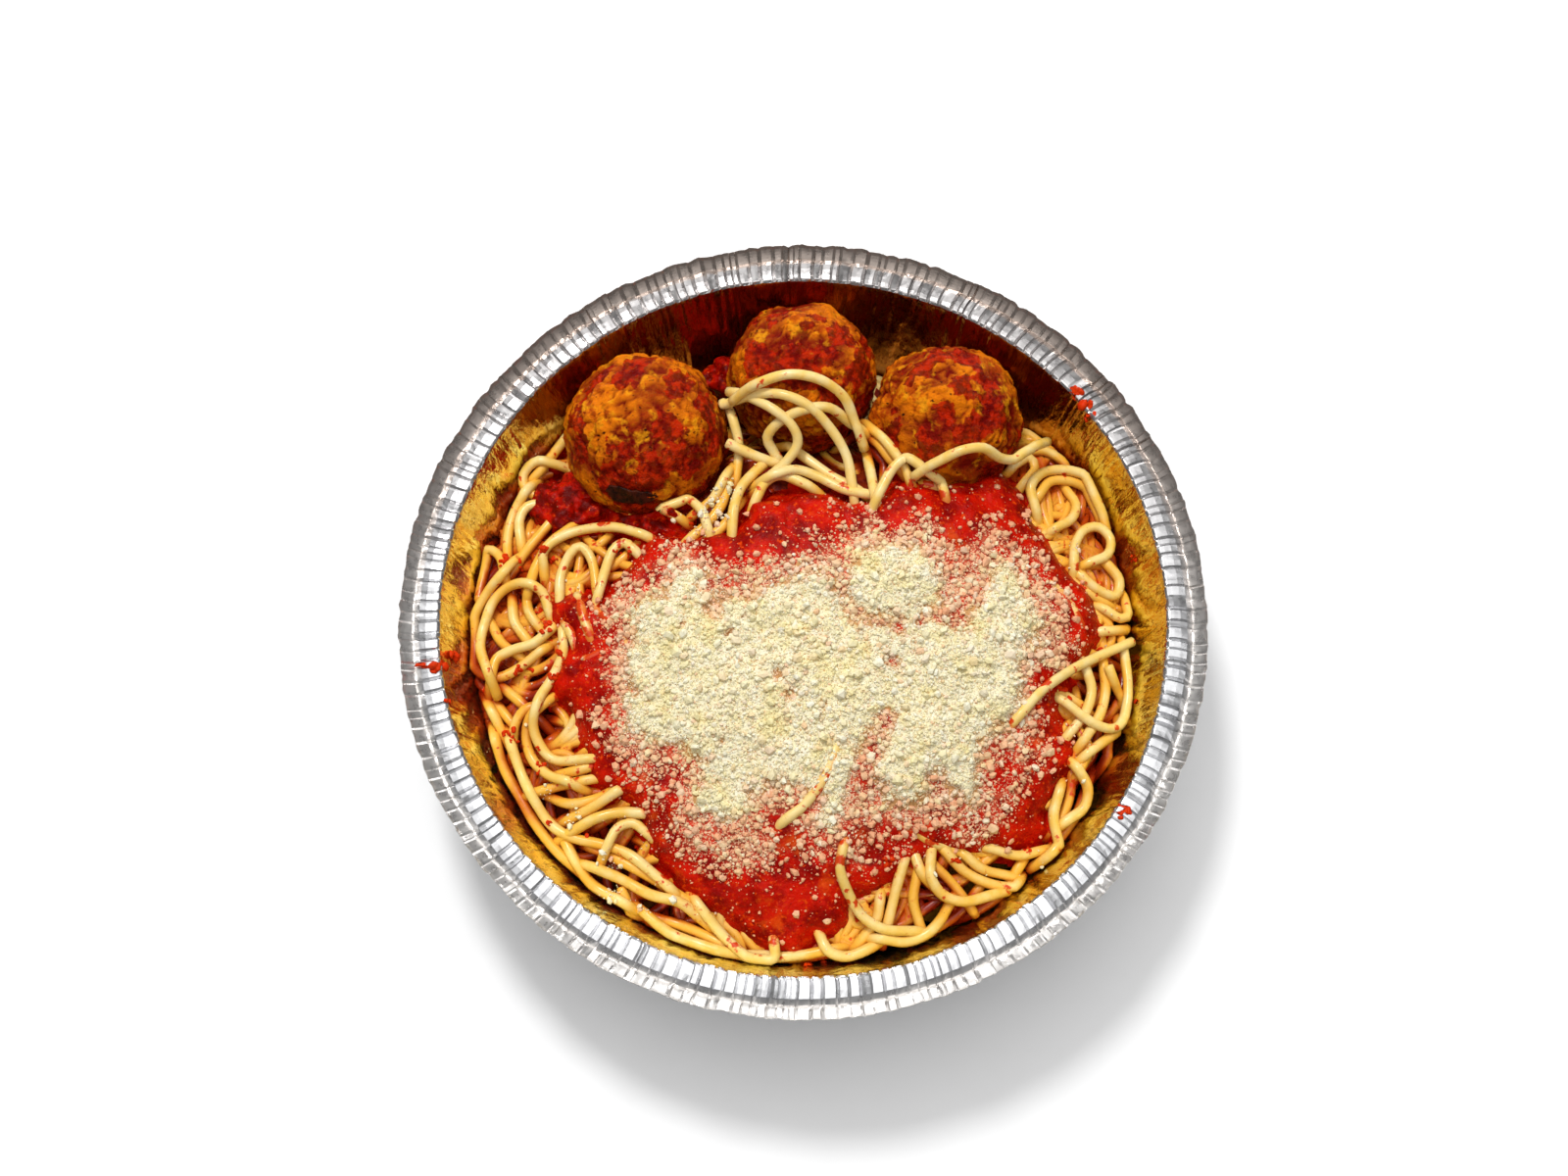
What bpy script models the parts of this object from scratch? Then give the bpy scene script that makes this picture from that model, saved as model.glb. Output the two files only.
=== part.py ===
"""Spaghetti and meatballs in a round aluminium foil take-out pan.

Metres, +Z up. The origin is the centre of the pan's base, on the surface it stands on.
The near side of the pan is at -Y, and the three meatballs lean on the wall at +Y.
"""

import math
import random

import bmesh
import bpy
import numpy as np
from mathutils import Matrix, Vector, noise

MM = 0.001
GAP = 0.35 * MM                     # clearance between pieces that touch

# Foil pan: a 7 inch round, 184 mm over the flared lip
LIP_RADIUS = 91.6 * MM
LIP_HEIGHT = 42.5 * MM
FOLD_RADIUS = 88.7 * MM             # where the flange turns up into the lip
FOLD_HEIGHT = 40.4 * MM
RIM_RADIUS = 82.7 * MM              # where the wall meets the flange
RIM_HEIGHT = 42.0 * MM
WALL_LEAN = 0.29                    # outward run of the wall for each unit of height
WALL_THICKNESS = 0.5 * MM
CORNER_HEIGHT = 4.5 * MM            # rounded corner between the floor and the wall
CORNER_RUN = 4.2 * MM
PAN_SEGMENTS = 80
CRIMP_DEPTH = 0.45 * MM
FLUTE_DEPTH = 0.22 * MM

# Spaghetti heap
HEAP_SEGMENTS = 48
HEAP_RINGS = 8                     # rings on the top, from the middle to the border
CORE_PEAK = 38.0 * MM
CORE_FALL = 15.0 * MM               # how far the top falls from the middle to the pan wall
CORE_REACH = 78.0 * MM
CORE_BORDER = 74.0 * MM
WALL_CLEARANCE = 0.9 * MM
BACK_LEVEL = 17.0 * MM              # hollow behind and under the meatballs
BACK_START = 40.0 * MM
BACK_END = 58.0 * MM
RECESS_DEPTH = 9.0 * MM             # the heap stands back from the wall at the near right
RECESS_BEARING = -48.0
RECESS_SPREAD = 30.0
NOODLE_RADIUS = 1.25 * MM
NOODLE_STEP = 3.4 * MM              # distance between a noodle's rings
NOODLE_SINK = 0.55 * MM             # how deep a noodle is pressed into what carries it
GRID_STEP = 1.0 * MM
SIDE_SLOPE = 1.5                    # how steeply noodles fall beyond the heap's border
LOOSE_NOODLES = 11
LOOSE_BEARINGS = (-208.0, 40.0)     # the loose noodles lie here, between the sauce and the wall
NOODLE_SEED = 11

# Meatballs: (x, y, z of the centre) and radius
MEATBALLS = {
    "meatball_left": ((-38.3 * MM, 44.6 * MM, 33.0 * MM), 18.9 * MM),
    "meatball_back": ((-2.0 * MM, 61.0 * MM, 33.0 * MM), 17.5 * MM),
    "meatball_right": ((32.6 * MM, 51.0 * MM, 33.0 * MM), 18.1 * MM),
}
MEATBALL_SEGMENTS = 20
MEATBALL_RINGS = 11
MEATBALL_LUMPS = 0.08               # deepest hollow, as a share of the radius

# Spoonfuls of sauce by the meatballs: centre and half sizes
CLUMPS = {
    "sauce_clump_left": ((-55.0 * MM, 29.0 * MM, 27.5 * MM), (11.0 * MM, 8.5 * MM, 5.0 * MM)),
    "sauce_clump_back": ((-19.5 * MM, 63.5 * MM, 22.0 * MM), (7.5 * MM, 6.5 * MM, 9.0 * MM)),
}
CLUMP_SEGMENTS = 14
CLUMP_RINGS = 7

# Sauce on the heap: its edge about its centre, as (bearing in degrees, reach in millimetres)
SAUCE_CENTRE = (4.0 * MM, -17.0 * MM)
SAUCE_EDGE_POINTS = ((0, 56), (18, 66), (45, 70), (62, 60), (80, 48), (120, 47), (148, 54),
                     (166, 64), (190, 57), (212, 51), (240, 53), (263, 55), (284, 46),
                     (302, 44), (318, 50), (338, 59))
SAUCE_LIFT = 0.5 * MM               # its underside clears the facets of the heap
SAUCE_THICKNESS = 5.0 * MM
SAUCE_EDGE = 2.2 * MM
SAUCE_LUMP = 1.1 * MM
SAUCE_SEGMENTS = 40
SAUCE_RINGS = 7

# Grated cheese on the sauce: its edge in the same way
CHEESE_CENTRE = (5.0 * MM, -11.0 * MM)
CHEESE_EDGE_POINTS = ((0, 50), (20, 47), (36, 39), (55, 41), (75, 34), (95, 26), (117, 28),
                      (150, 42), (180, 47), (210, 48), (240, 46), (264, 43), (290, 43), (325, 46))
CHEESE_MOUNDS = (                   # centre and spread, in millimetres
    (-10.6, -14.0, 26.0),
    (21.3, 9.8, 10.0),
    (40.0, -12.5, 18.0),
    (27.5, -36.0, 14.0),
)
CHEESE_THICKNESS = 1.1 * MM
CHEESE_MOUND = 1.8 * MM
CHEESE_CRUMB = 0.5 * MM
CHEESE_SEGMENTS = 34
CHEESE_RINGS = 7
CRUMBS = 14
CRUMB_RADIUS = 1.1 * MM
CRUMB_SEED = 5

# Dark leaf fragment stuck to the front of the left meatball
LEAF_BEARING = -98.0
LEAF_ELEVATION = 23.0
LEAF_HALF_LENGTH = 5.8 * MM
LEAF_HALF_WIDTH = 2.3 * MM
LEAF_THICKNESS = 0.7 * MM

# Noodles that stand out, each by a few points in millimetres. The first number is how far
# it rides above its support; a point with three numbers is in the air at that height.
SHOWN_NOODLES = {
    "top_arch": (0, [(-16, 38, 33), (-18, 45, 39), (-13, 51, 48), (-4, 54, 51.5), (3, 53, 50),
                     (9, 47, 43), (12, 41, 33)]),
    "top_second": (0, [(-13, 36, 33), (-15, 45, 41), (-8, 47, 47), (0, 45, 45.5), (6, 41, 40),
                       (8, 37, 33)]),
    "top_span": (1, [(-36, 22), (-28, 26), (-20, 31), (-10, 34), (-2, 33)]),
    "top_bow": (2, [(-8, 36), (-2, 40), (5, 38), (11, 41), (17, 37)]),
    "top_post": (2, [(-22, 30), (-20, 36), (-22, 42)]),
    "left_outer_loop": (1, [(-66, 14), (-72, 8), (-75, -3), (-72, -13), (-66, -15), (-59, -9)]),
    "left_big_loop": (4, [(-57, 4), (-63, 8), (-69, 5), (-71, -3), (-69, -10), (-62, -13)]),
    "left_arch": (1, [(-66, 12), (-60, 20), (-52, 21), (-42, 20)]),
    "left_back_curl": (0, [(-58, 41), (-64, 38), (-68, 31), (-66, 22), (-60, 16)]),
    "lower_sweep": (2, [(-60, -17), (-64, -24), (-62, -32), (-55, -38), (-47, -39)]),
    "lower_bar": (1, [(-54, -27), (-57, -34), (-54, -42), (-46, -45), (-38, -48)]),
    "long_inner": (1, [(-70, -21), (-68, -31), (-62, -41), (-55, -49), (-44, -55), (-33, -61)]),
    "low_edge": (1, [(-52, -51), (-44, -59), (-34, -65), (-23, -70), (-13, -73)]),
    "bottom_curl": (2, [(-26, -66), (-17, -73), (-6, -76), (5, -75.5), (14, -71), (22, -65)]),
    "fall_front": (3, [(20, -64), (27, -62), (34, -60), (43, -56), (52, -50)]),
    "fall_low": (0, [(24, -69), (33, -66), (38, -60), (38, -54)]),
    "right_hook": (3, [(63, -33), (69, -25), (72, -15), (73, -5), (72, 6)]),
    "right_bar": (3, [(73, -3), (69, -11), (67, -20), (64, -30), (60, -44)]),
    "right_ring": (3, [(72, 4), (73, 12), (70, 21), (63, 24), (60, 30)]),
    "right_loop": (2, [(55, 30), (55, 38), (61, 42), (67, 37), (70, 28), (67, 20)]),
}


def smooth(low, high, value):
    """Ease from 0 at low to 1 at high."""
    t = min(max((value - low) / (high - low), 0.0), 1.0)
    return t * t * (3.0 - 2.0 * t)


def bump(bearing, centre, spread):
    """A bell of height 1 round a bearing, all in degrees."""
    away = (bearing - centre + 180.0) % 360.0 - 180.0
    return math.exp(-(away / spread) ** 2)


def outline_reach(bearing, points):
    """The reach of a closed outline, on a smooth curve through (bearing, reach) points."""
    bearing %= 360.0
    count = len(points)
    index = max(k for k in range(count) if points[k][0] <= bearing)
    spots = [points[(index + k) % count] for k in (-1, 0, 1, 2)]
    width = (spots[2][0] - spots[1][0]) % 360.0
    t = (bearing - spots[1][0]) / width
    a, b, c, d = (reach * MM for _, reach in spots)
    return 0.5 * (2 * b + (c - a) * t + (2 * a - 5 * b + 4 * c - d) * t ** 2
                  + (3 * b - a - 3 * c + d) * t ** 3)


def wall_radius(height):
    """Radius of the pan's inside at a height, with the rounded corner by the floor."""
    radius = RIM_RADIUS - WALL_LEAN * (RIM_HEIGHT - height)
    if height < CORNER_HEIGHT:
        radius -= CORNER_RUN * (1.0 - height / CORNER_HEIGHT) ** 2
    return radius


def core_top(x, y):
    """Height of the bare heap under the noodles that are fused on."""
    radius = math.hypot(x, y)
    dome = CORE_PEAK - CORE_FALL * min(radius / CORE_REACH, 1.1) ** 2.4
    back = smooth(BACK_START, BACK_END, y) * (1.0 - smooth(44 * MM, 60 * MM, abs(x)))
    return dome + (BACK_LEVEL - dome) * back


def core_border(bearing):
    """How far the bare heap reaches towards a bearing."""
    return CORE_BORDER - RECESS_DEPTH * bump(bearing, RECESS_BEARING, RECESS_SPREAD)


def sauce_reach(x, y):
    """Distance from the sauce's edge, negative inside its outline."""
    dx = x - SAUCE_CENTRE[0]
    dy = y - SAUCE_CENTRE[1]
    bearing = math.degrees(math.atan2(dy, dx))
    return math.hypot(dx, dy) - outline_reach(bearing, SAUCE_EDGE_POINTS)


def sauce_top(x, y):
    """Height of the sauce's surface; it is even under the cheese and lumpy outside it."""
    inside = min(max(-sauce_reach(x, y) / (16 * MM), 0.0), 1.0)
    depth = SAUCE_EDGE + (SAUCE_THICKNESS - SAUCE_EDGE) * math.sin(inside * math.pi / 2)
    bare = smooth(-3 * MM, 3 * MM, cheese_reach(x, y))
    lump = noise.noise(Vector((x, y, 0.0)) / (9 * MM)) * SAUCE_LUMP * bare
    return core_top(x, y) + GAP + depth + lump


def cheese_reach(x, y):
    """Distance from the cheese's edge, negative inside its outline."""
    dx = x - CHEESE_CENTRE[0]
    dy = y - CHEESE_CENTRE[1]
    bearing = math.degrees(math.atan2(dy, dx))
    return math.hypot(dx, dy) - outline_reach(bearing, CHEESE_EDGE_POINTS)


def cheese_top(x, y):
    """Height of the cheese: a thin layer with four mounds and a crumbly surface."""
    mound = 0.0
    for centre_x, centre_y, spread in CHEESE_MOUNDS:
        away = math.hypot(x - centre_x * MM, y - centre_y * MM) / (spread * MM)
        mound = max(mound, math.exp(-away ** 4))
    crumb = CHEESE_CRUMB * noise.noise(Vector((x, y, 9 * MM)) / (4 * MM))
    return sauce_top(x, y) + GAP + CHEESE_THICKNESS + CHEESE_MOUND * mound + crumb


def material(name, colour, roughness, metallic=0.0):
    """A Principled material."""
    made = bpy.data.materials.new(name)
    made.use_nodes = True
    shader = made.node_tree.nodes["Principled BSDF"]
    shader.inputs["Base Color"].default_value = (*colour, 1.0)
    shader.inputs["Roughness"].default_value = roughness
    shader.inputs["Metallic"].default_value = metallic
    return made


def new_object(name, mesh, collection, made=None):
    """Put a mesh in the scene, shaded smooth except at sharp edges."""
    piece = bpy.data.objects.new(name, mesh)
    collection.objects.link(piece)
    if made:
        mesh.materials.append(made)
    mesh.shade_smooth()
    mesh.set_sharp_from_angle(angle=math.radians(40))
    return piece


def skin(name, segments, rings, place):
    """A closed mesh from a UV sphere whose vertices are moved by place(bearing, ring)."""
    shape = bmesh.new()
    bmesh.ops.create_uvsphere(shape, u_segments=segments, v_segments=rings, radius=1.0)
    for vertex in shape.verts:
        ring = round(math.acos(max(-1.0, min(1.0, vertex.co.z))) / math.pi * rings)
        bearing = math.degrees(math.atan2(vertex.co.y, vertex.co.x))
        vertex.co = place(bearing, ring)
    bmesh.ops.triangulate(shape, faces=shape.faces)
    bmesh.ops.recalc_face_normals(shape, faces=shape.faces)
    mesh = bpy.data.meshes.new(name)
    shape.to_mesh(mesh)
    shape.free()
    return mesh


def polar(bearing, radius, centre=(0.0, 0.0)):
    """The plan point at a bearing in degrees and a radius from a centre."""
    angle = math.radians(bearing)
    return centre[0] + radius * math.cos(angle), centre[1] + radius * math.sin(angle)


def pan_profile():
    """The pan's inner surface as (radius, height, crimp share, flute share), lip to floor."""
    floor = WALL_THICKNESS
    corner = floor + CORNER_HEIGHT
    return (
        (LIP_RADIUS, LIP_HEIGHT, 0.0, 0.0),
        (FOLD_RADIUS, FOLD_HEIGHT, 0.6, 0.0),
        ((FOLD_RADIUS + RIM_RADIUS) / 2 + 0.5 * MM, RIM_HEIGHT - 0.2 * MM, 1.0, 0.0),
        (RIM_RADIUS, RIM_HEIGHT, 0.5, 0.6),
        (wall_radius(24 * MM), 24 * MM, 0.0, 1.0),
        (wall_radius(corner), corner, 0.0, 0.6),
        (wall_radius(corner) - 1.5 * MM, floor + 1.3 * MM, 0.0, 0.0),
        (wall_radius(corner) - CORNER_RUN, floor, 0.0, 0.0),
    )


def make_pan(collection, foil):
    """The pan: a turned profile, crimped round the flange and thickened downwards."""
    profile = pan_profile()
    line = bpy.data.meshes.new("foil_pan")
    points = [(radius, 0.0, height) for radius, height, _, _ in profile]
    points.append((0.0, 0.0, WALL_THICKNESS))
    line.from_pydata(points, [(i, i + 1) for i in range(len(profile))], [])
    turned = bpy.data.objects.new("foil_pan", line)
    collection.objects.link(turned)
    screw = turned.modifiers.new("turn", "SCREW")
    screw.steps = PAN_SEGMENTS
    screw.render_steps = PAN_SEGMENTS
    screw.use_merge_vertices = True
    screw.merge_threshold = 0.00005
    mesh = evaluated_mesh(turned)
    bpy.data.objects.remove(turned)
    mesh.name = "foil_pan"
    pan = new_object("foil_pan", mesh, collection, foil)
    shares = {round(height / (0.1 * MM)): (crimp, flute) for _, height, crimp, flute in profile}
    for vertex in mesh.vertices:
        crimp, flute = shares[round(vertex.co.z / (0.1 * MM))]
        radius = math.hypot(vertex.co.x, vertex.co.y)
        if radius < 1 * MM:
            continue
        column = round(math.atan2(vertex.co.y, vertex.co.x) / (2 * math.pi) * PAN_SEGMENTS)
        fold = 0.5 if column % 2 else -0.5
        uneven = noise.noise(Vector((column * 0.37, 3.1, 0.0)))
        vertex.co.z += crimp * CRIMP_DEPTH * (fold + 0.5 * uneven)
        shrink = 1.0 - flute * FLUTE_DEPTH * (0.5 + fold) / radius
        vertex.co.x *= shrink
        vertex.co.y *= shrink
    solid = pan.modifiers.new("foil", "SOLIDIFY")
    solid.thickness = WALL_THICKNESS
    solid.offset = 1.0
    solid.use_even_offset = False
    return pan


def evaluated_mesh(piece):
    """A copy of an object's mesh with its modifiers applied."""
    graph = bpy.context.evaluated_depsgraph_get()
    return bpy.data.meshes.new_from_object(piece.evaluated_get(graph))


def meatball_mesh(name, grow=0.0):
    """A hand-rolled ball with shallow hollows; grow makes it larger for a cutter."""
    centre, radius = MEATBALLS[name]
    seed = Vector(centre) * 400.0

    def place(bearing, ring):
        polar_angle = math.pi * ring / MEATBALL_RINGS
        flat_x, flat_y = polar(bearing, math.sin(polar_angle))
        direction = Vector((flat_x, flat_y, math.cos(polar_angle)))
        hollow = 0.5 - 0.5 * noise.noise(direction * 3.1 + seed)
        return Vector(centre) + direction * (radius * (1.0 - MEATBALL_LUMPS * hollow) + grow)

    return skin(name, MEATBALL_SEGMENTS, MEATBALL_RINGS, place)


def clump_mesh(name, grow=0.0):
    """A lumpy spoonful of sauce; grow makes it larger for a cutter."""
    centre, half = CLUMPS[name]

    def place(bearing, ring):
        polar_angle = math.pi * ring / CLUMP_RINGS
        flat_x, flat_y = polar(bearing, math.sin(polar_angle))
        direction = Vector((flat_x, flat_y, math.cos(polar_angle)))
        size = 1.0 - 0.22 * (0.5 + 0.5 * noise.noise(direction * 1.7 + Vector(centre) * 300.0))
        reach = Vector(axis * length for axis, length in zip(direction, half)) * size
        return Vector(centre) + reach + direction * grow

    return skin(name, CLUMP_SEGMENTS, CLUMP_RINGS, place)


def core_mesh():
    """The bare heap: a dome on top, a side along the pan's wall and a flat floor."""
    floor = WALL_THICKNESS + GAP
    corner = WALL_THICKNESS + CORNER_HEIGHT
    side_rings = 3

    def place(bearing, ring):
        border = core_border(bearing)
        if ring <= HEAP_RINGS:
            x, y = polar(bearing, border * (ring / HEAP_RINGS) ** 0.9)
            return Vector((x, y, core_top(x, y)))
        x, y = polar(bearing, border)
        edge = core_top(x, y)
        foot = min(wall_radius(corner) - WALL_CLEARANCE, border + 2 * MM)
        if ring == HEAP_RINGS + 1:
            return Vector((*polar(bearing, (border + foot) / 2 + 0.4 * MM), (edge + corner) / 2))
        if ring == HEAP_RINGS + 2:
            return Vector((*polar(bearing, foot), corner))
        if ring == HEAP_RINGS + side_rings:
            return Vector((*polar(bearing, foot - CORNER_RUN - 1 * MM), floor))
        return Vector((0.0, 0.0, floor))

    return skin("core", HEAP_SEGMENTS, HEAP_RINGS + side_rings + 1, place)


def sauce_mesh():
    """The sauce: a lumpy top, a rounded edge and an underside that follows the heap."""
    under_rings = 6
    edge_ring = SAUCE_RINGS + 1

    def place(bearing, ring):
        border = outline_reach(bearing, SAUCE_EDGE_POINTS)
        if ring <= SAUCE_RINGS:
            share = (ring / SAUCE_RINGS) ** 0.85
            x, y = polar(bearing, (border - 0.8 * MM) * share, SAUCE_CENTRE)
            return Vector((x, y, sauce_top(x, y)))
        if ring == edge_ring:
            x, y = polar(bearing, border, SAUCE_CENTRE)
            return Vector((x, y, core_top(x, y) + GAP + 0.5 * SAUCE_EDGE))
        share = 1.0 - (ring - edge_ring - 1) / (under_rings - 1)
        x, y = polar(bearing, (border - 0.6 * MM) * share, SAUCE_CENTRE)
        return Vector((x, y, core_top(x, y) + SAUCE_LIFT))

    return skin("sauce", SAUCE_SEGMENTS, edge_ring + under_rings, place)


def cheese_mesh():
    """The grated cheese as one crumbly layer, sunk into the sauce that will cut its underside."""
    under_rings = 2

    def place(bearing, ring):
        border = outline_reach(bearing, CHEESE_EDGE_POINTS)
        if ring <= CHEESE_RINGS:
            share = (ring / CHEESE_RINGS) ** 0.85
            x, y = polar(bearing, (border - 0.5 * MM) * share, CHEESE_CENTRE)
            return Vector((x, y, cheese_top(x, y)))
        x, y = polar(bearing, border if ring == CHEESE_RINGS + 1 else 0.0, CHEESE_CENTRE)
        return Vector((x, y, core_top(x, y) + GAP + 0.5 * SAUCE_EDGE))

    return skin("grated_cheese", CHEESE_SEGMENTS, CHEESE_RINGS + under_rings, place)


def leaf_mesh():
    """A thin wavy fragment that follows the front of the left meatball."""
    centre, radius = MEATBALLS["meatball_left"]
    up = Vector((0.0, 0.0, 1.0))
    flat_x, flat_y = polar(LEAF_BEARING, math.cos(math.radians(LEAF_ELEVATION)))
    outward = Vector((flat_x, flat_y, math.sin(math.radians(LEAF_ELEVATION))))
    along = up.cross(outward).normalized()
    across = outward.cross(along)

    def place(bearing, ring):
        share = math.sin(math.pi * ring / 6)
        x, y = polar(bearing, share)
        ragged = 1.0 + 0.12 * math.sin(3 * math.radians(bearing) + 1.0)
        on_ball = (outward * radius + along * x * LEAF_HALF_LENGTH * ragged
                   + across * y * LEAF_HALF_WIDTH * ragged).normalized()
        wave = 0.25 * MM * math.sin(5.0 * x + 2.0 * y)
        lift = GAP + 0.3 * MM + wave + (LEAF_THICKNESS if ring <= 3 else 0.0)
        return Vector(centre) + on_ball * (radius + lift)

    return skin("dark_leaf_fragment", 14, 6, place)


class Pile:
    """The height of everything laid so far, on a square grid seen from above."""

    def __init__(self):
        self.half = round(80 * MM / GRID_STEP)
        count = 2 * self.half + 1
        self.top = np.zeros((count, count))
        for i in range(count):
            for j in range(count):
                x = (i - self.half) * GRID_STEP
                y = (j - self.half) * GRID_STEP
                beyond = math.hypot(x, y) - core_border(math.degrees(math.atan2(y, x)))
                self.top[i, j] = max(core_top(x, y) - SIDE_SLOPE * max(beyond, 0.0), WALL_THICKNESS)

    def cells(self, x, y, reach):
        """Grid cells within reach of a plan point, with their distance to it."""
        middle_i = x / GRID_STEP + self.half
        middle_j = y / GRID_STEP + self.half
        span = reach / GRID_STEP
        for i in range(math.ceil(middle_i - span), math.floor(middle_i + span) + 1):
            for j in range(math.ceil(middle_j - span), math.floor(middle_j + span) + 1):
                away = math.hypot(i - middle_i, j - middle_j) * GRID_STEP
                if away <= reach and 0 <= min(i, j) and max(i, j) < len(self.top):
                    yield i, j, away

    def rest(self, x, y):
        """Height of a noodle's axis where it rests at a plan point."""
        heights = [self.top[i, j] for i, j, _ in self.cells(x, y, NOODLE_RADIUS)]
        return max(heights) + NOODLE_RADIUS - NOODLE_SINK

    def add(self, path):
        """Raise the grid to the top of a noodle."""
        for point in path:
            for i, j, away in self.cells(point.x, point.y, NOODLE_RADIUS):
                crown = point.z + math.sqrt(max(NOODLE_RADIUS ** 2 - away ** 2, 0.0))
                self.top[i, j] = max(self.top[i, j], crown)


def spline_points(points, step):
    """Points a step apart on a smooth curve through the given points."""
    ends = [points[0] * 2 - points[1]] + list(points) + [points[-1] * 2 - points[-2]]
    path = []
    for a, b, c, d in zip(ends, ends[1:], ends[2:], ends[3:]):
        count = max(1, round((c - b).length / step))
        for k in range(count):
            t = k / count
            path.append(0.5 * (2 * b + (c - a) * t + (2 * a - 5 * b + 4 * c - d) * t ** 2
                               + (3 * b - a - 3 * c + d) * t ** 3))
    path.append(points[-1].copy())
    return path


def drape(plan, pile, lift):
    """Rest a plan path on the pile: a noodle bridges dips and doesn't kink."""
    heights = np.array([pile.rest(x, y) for x, y in plan]) + lift
    padded = np.pad(heights, 1, mode="edge")
    bridged = np.maximum(heights, (padded[:-2] + padded[2:]) / 2)
    padded = np.pad(bridged, 1, mode="edge")
    eased = (padded[:-2] + 2 * bridged + padded[2:]) / 4
    eased[0] = heights[0] - lift
    eased[-1] = heights[-1] - lift
    return [Vector((x, y, z)) for (x, y), z in zip(plan, eased)]


def inside_wall(point):
    """Move a noodle's point in from the pan's wall."""
    limit = wall_radius(point.z) - NOODLE_RADIUS * 1.05 - WALL_CLEARANCE
    radius = math.hypot(point.x, point.y)
    if radius > limit:
        point.x *= limit / radius
        point.y *= limit / radius
    return point


def is_clear(point):
    """Whether a noodle's point misses the sauce, the meatballs and the spoonfuls of sauce."""
    clearance = NOODLE_RADIUS + GAP
    if sauce_reach(point.x, point.y) < clearance + 0.5 * MM:
        return False
    for centre, radius in MEATBALLS.values():
        if (point - Vector(centre)).length < radius + clearance:
            return False
    for centre, half in CLUMPS.values():
        away = point - Vector(centre)
        if Vector(axis / (length + clearance) for axis, length in zip(away, half)).length < 1.0:
            return False
    return True


def longest_clear(path):
    """The longest run of points that is clear of the other pieces."""
    best = []
    run = []
    for point in path:
        run = run + [point] if is_clear(point) else []
        if len(run) > len(best):
            best = run
    return best


def loose_plan(draw):
    """A wandering plan path that stays between the sauce and the heap's border."""
    bearing = draw.uniform(*LOOSE_BEARINGS)
    x, y = polar(bearing, core_border(bearing) - draw.uniform(1.0, 14.0) * MM)
    heading = math.radians(bearing + 90.0 + draw.uniform(-60.0, 60.0))
    turn = draw.uniform(-0.12, 0.12)
    sauce_margin = NOODLE_RADIUS + GAP + 0.7 * MM
    plan = []
    for k in range(draw.randint(12, 17)):
        heading += turn + 0.22 * math.sin(0.8 * k + turn * 40)
        x += NOODLE_STEP * math.cos(heading)
        y += NOODLE_STEP * math.sin(heading)
        angle = math.atan2(y, x)
        radius = math.hypot(x, y)
        while sauce_reach(radius * math.cos(angle), radius * math.sin(angle)) < sauce_margin:
            radius += 0.3 * MM
        radius = min(radius, core_border(math.degrees(angle)) + 1 * MM)
        x, y = radius * math.cos(angle), radius * math.sin(angle)
        plan.append((x, y))
    return plan


def shown_path(pile, lift, points):
    """The path of a named noodle: in the air where heights are given, else on the pile."""
    if len(points[0]) == 3:
        return spline_points([Vector(point) * MM for point in points], NOODLE_STEP)
    flat = spline_points([Vector((x, y, 0.0)) * MM for x, y in points], NOODLE_STEP)
    return drape([(point.x, point.y) for point in flat], pile, lift * MM)


def noodle_paths():
    """Every fused noodle's axis, lowest first, each resting on those before it."""
    pile = Pile()
    draw = random.Random(NOODLE_SEED)
    wanted = [lambda: drape(loose_plan(draw), pile, 0.0)] * LOOSE_NOODLES
    wanted += [lambda shown=shown: shown_path(pile, *shown) for shown in SHOWN_NOODLES.values()]
    shortest = 4
    for make_path in wanted:
        path = longest_clear([inside_wall(point) for point in make_path()])
        if len(path) >= shortest:
            pile.add(path)
            yield path


def noodle_object(path, index, collection):
    """One noodle as a closed mesh, from a round curve along its path."""
    curve = bpy.data.curves.new(f"noodle_{index}", "CURVE")
    curve.dimensions = "3D"
    curve.bevel_depth = NOODLE_RADIUS
    curve.bevel_resolution = 1
    curve.use_fill_caps = True
    spline = curve.splines.new("POLY")
    spline.points.add(len(path) - 1)
    for place, point in zip(spline.points, path):
        place.co = (*point, 1.0)
    guide = bpy.data.objects.new(f"noodle_guide_{index}", curve)
    collection.objects.link(guide)
    mesh = evaluated_mesh(guide)
    weld(mesh)
    bpy.data.objects.remove(guide)
    return new_object(f"noodle_{index}", mesh, collection)


def weld(mesh):
    """Close a mesh's caps and face it outwards."""
    shape = bmesh.new()
    shape.from_mesh(mesh)
    bmesh.ops.remove_doubles(shape, verts=shape.verts, dist=0.00001)
    bmesh.ops.recalc_face_normals(shape, faces=shape.faces)
    shape.to_mesh(mesh)
    shape.free()


def combine(piece, operation, collection):
    """Apply one Boolean with a whole collection and remove the collection's objects."""
    boolean = piece.modifiers.new(operation.lower(), "BOOLEAN")
    boolean.operation = operation
    boolean.operand_type = "COLLECTION"
    boolean.collection = collection
    boolean.solver = "MANIFOLD"
    mesh = evaluated_mesh(piece)
    piece.modifiers.remove(boolean)
    piece.data = mesh
    for used in list(collection.objects):
        bpy.data.objects.remove(used)
    bpy.data.collections.remove(collection)


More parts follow.
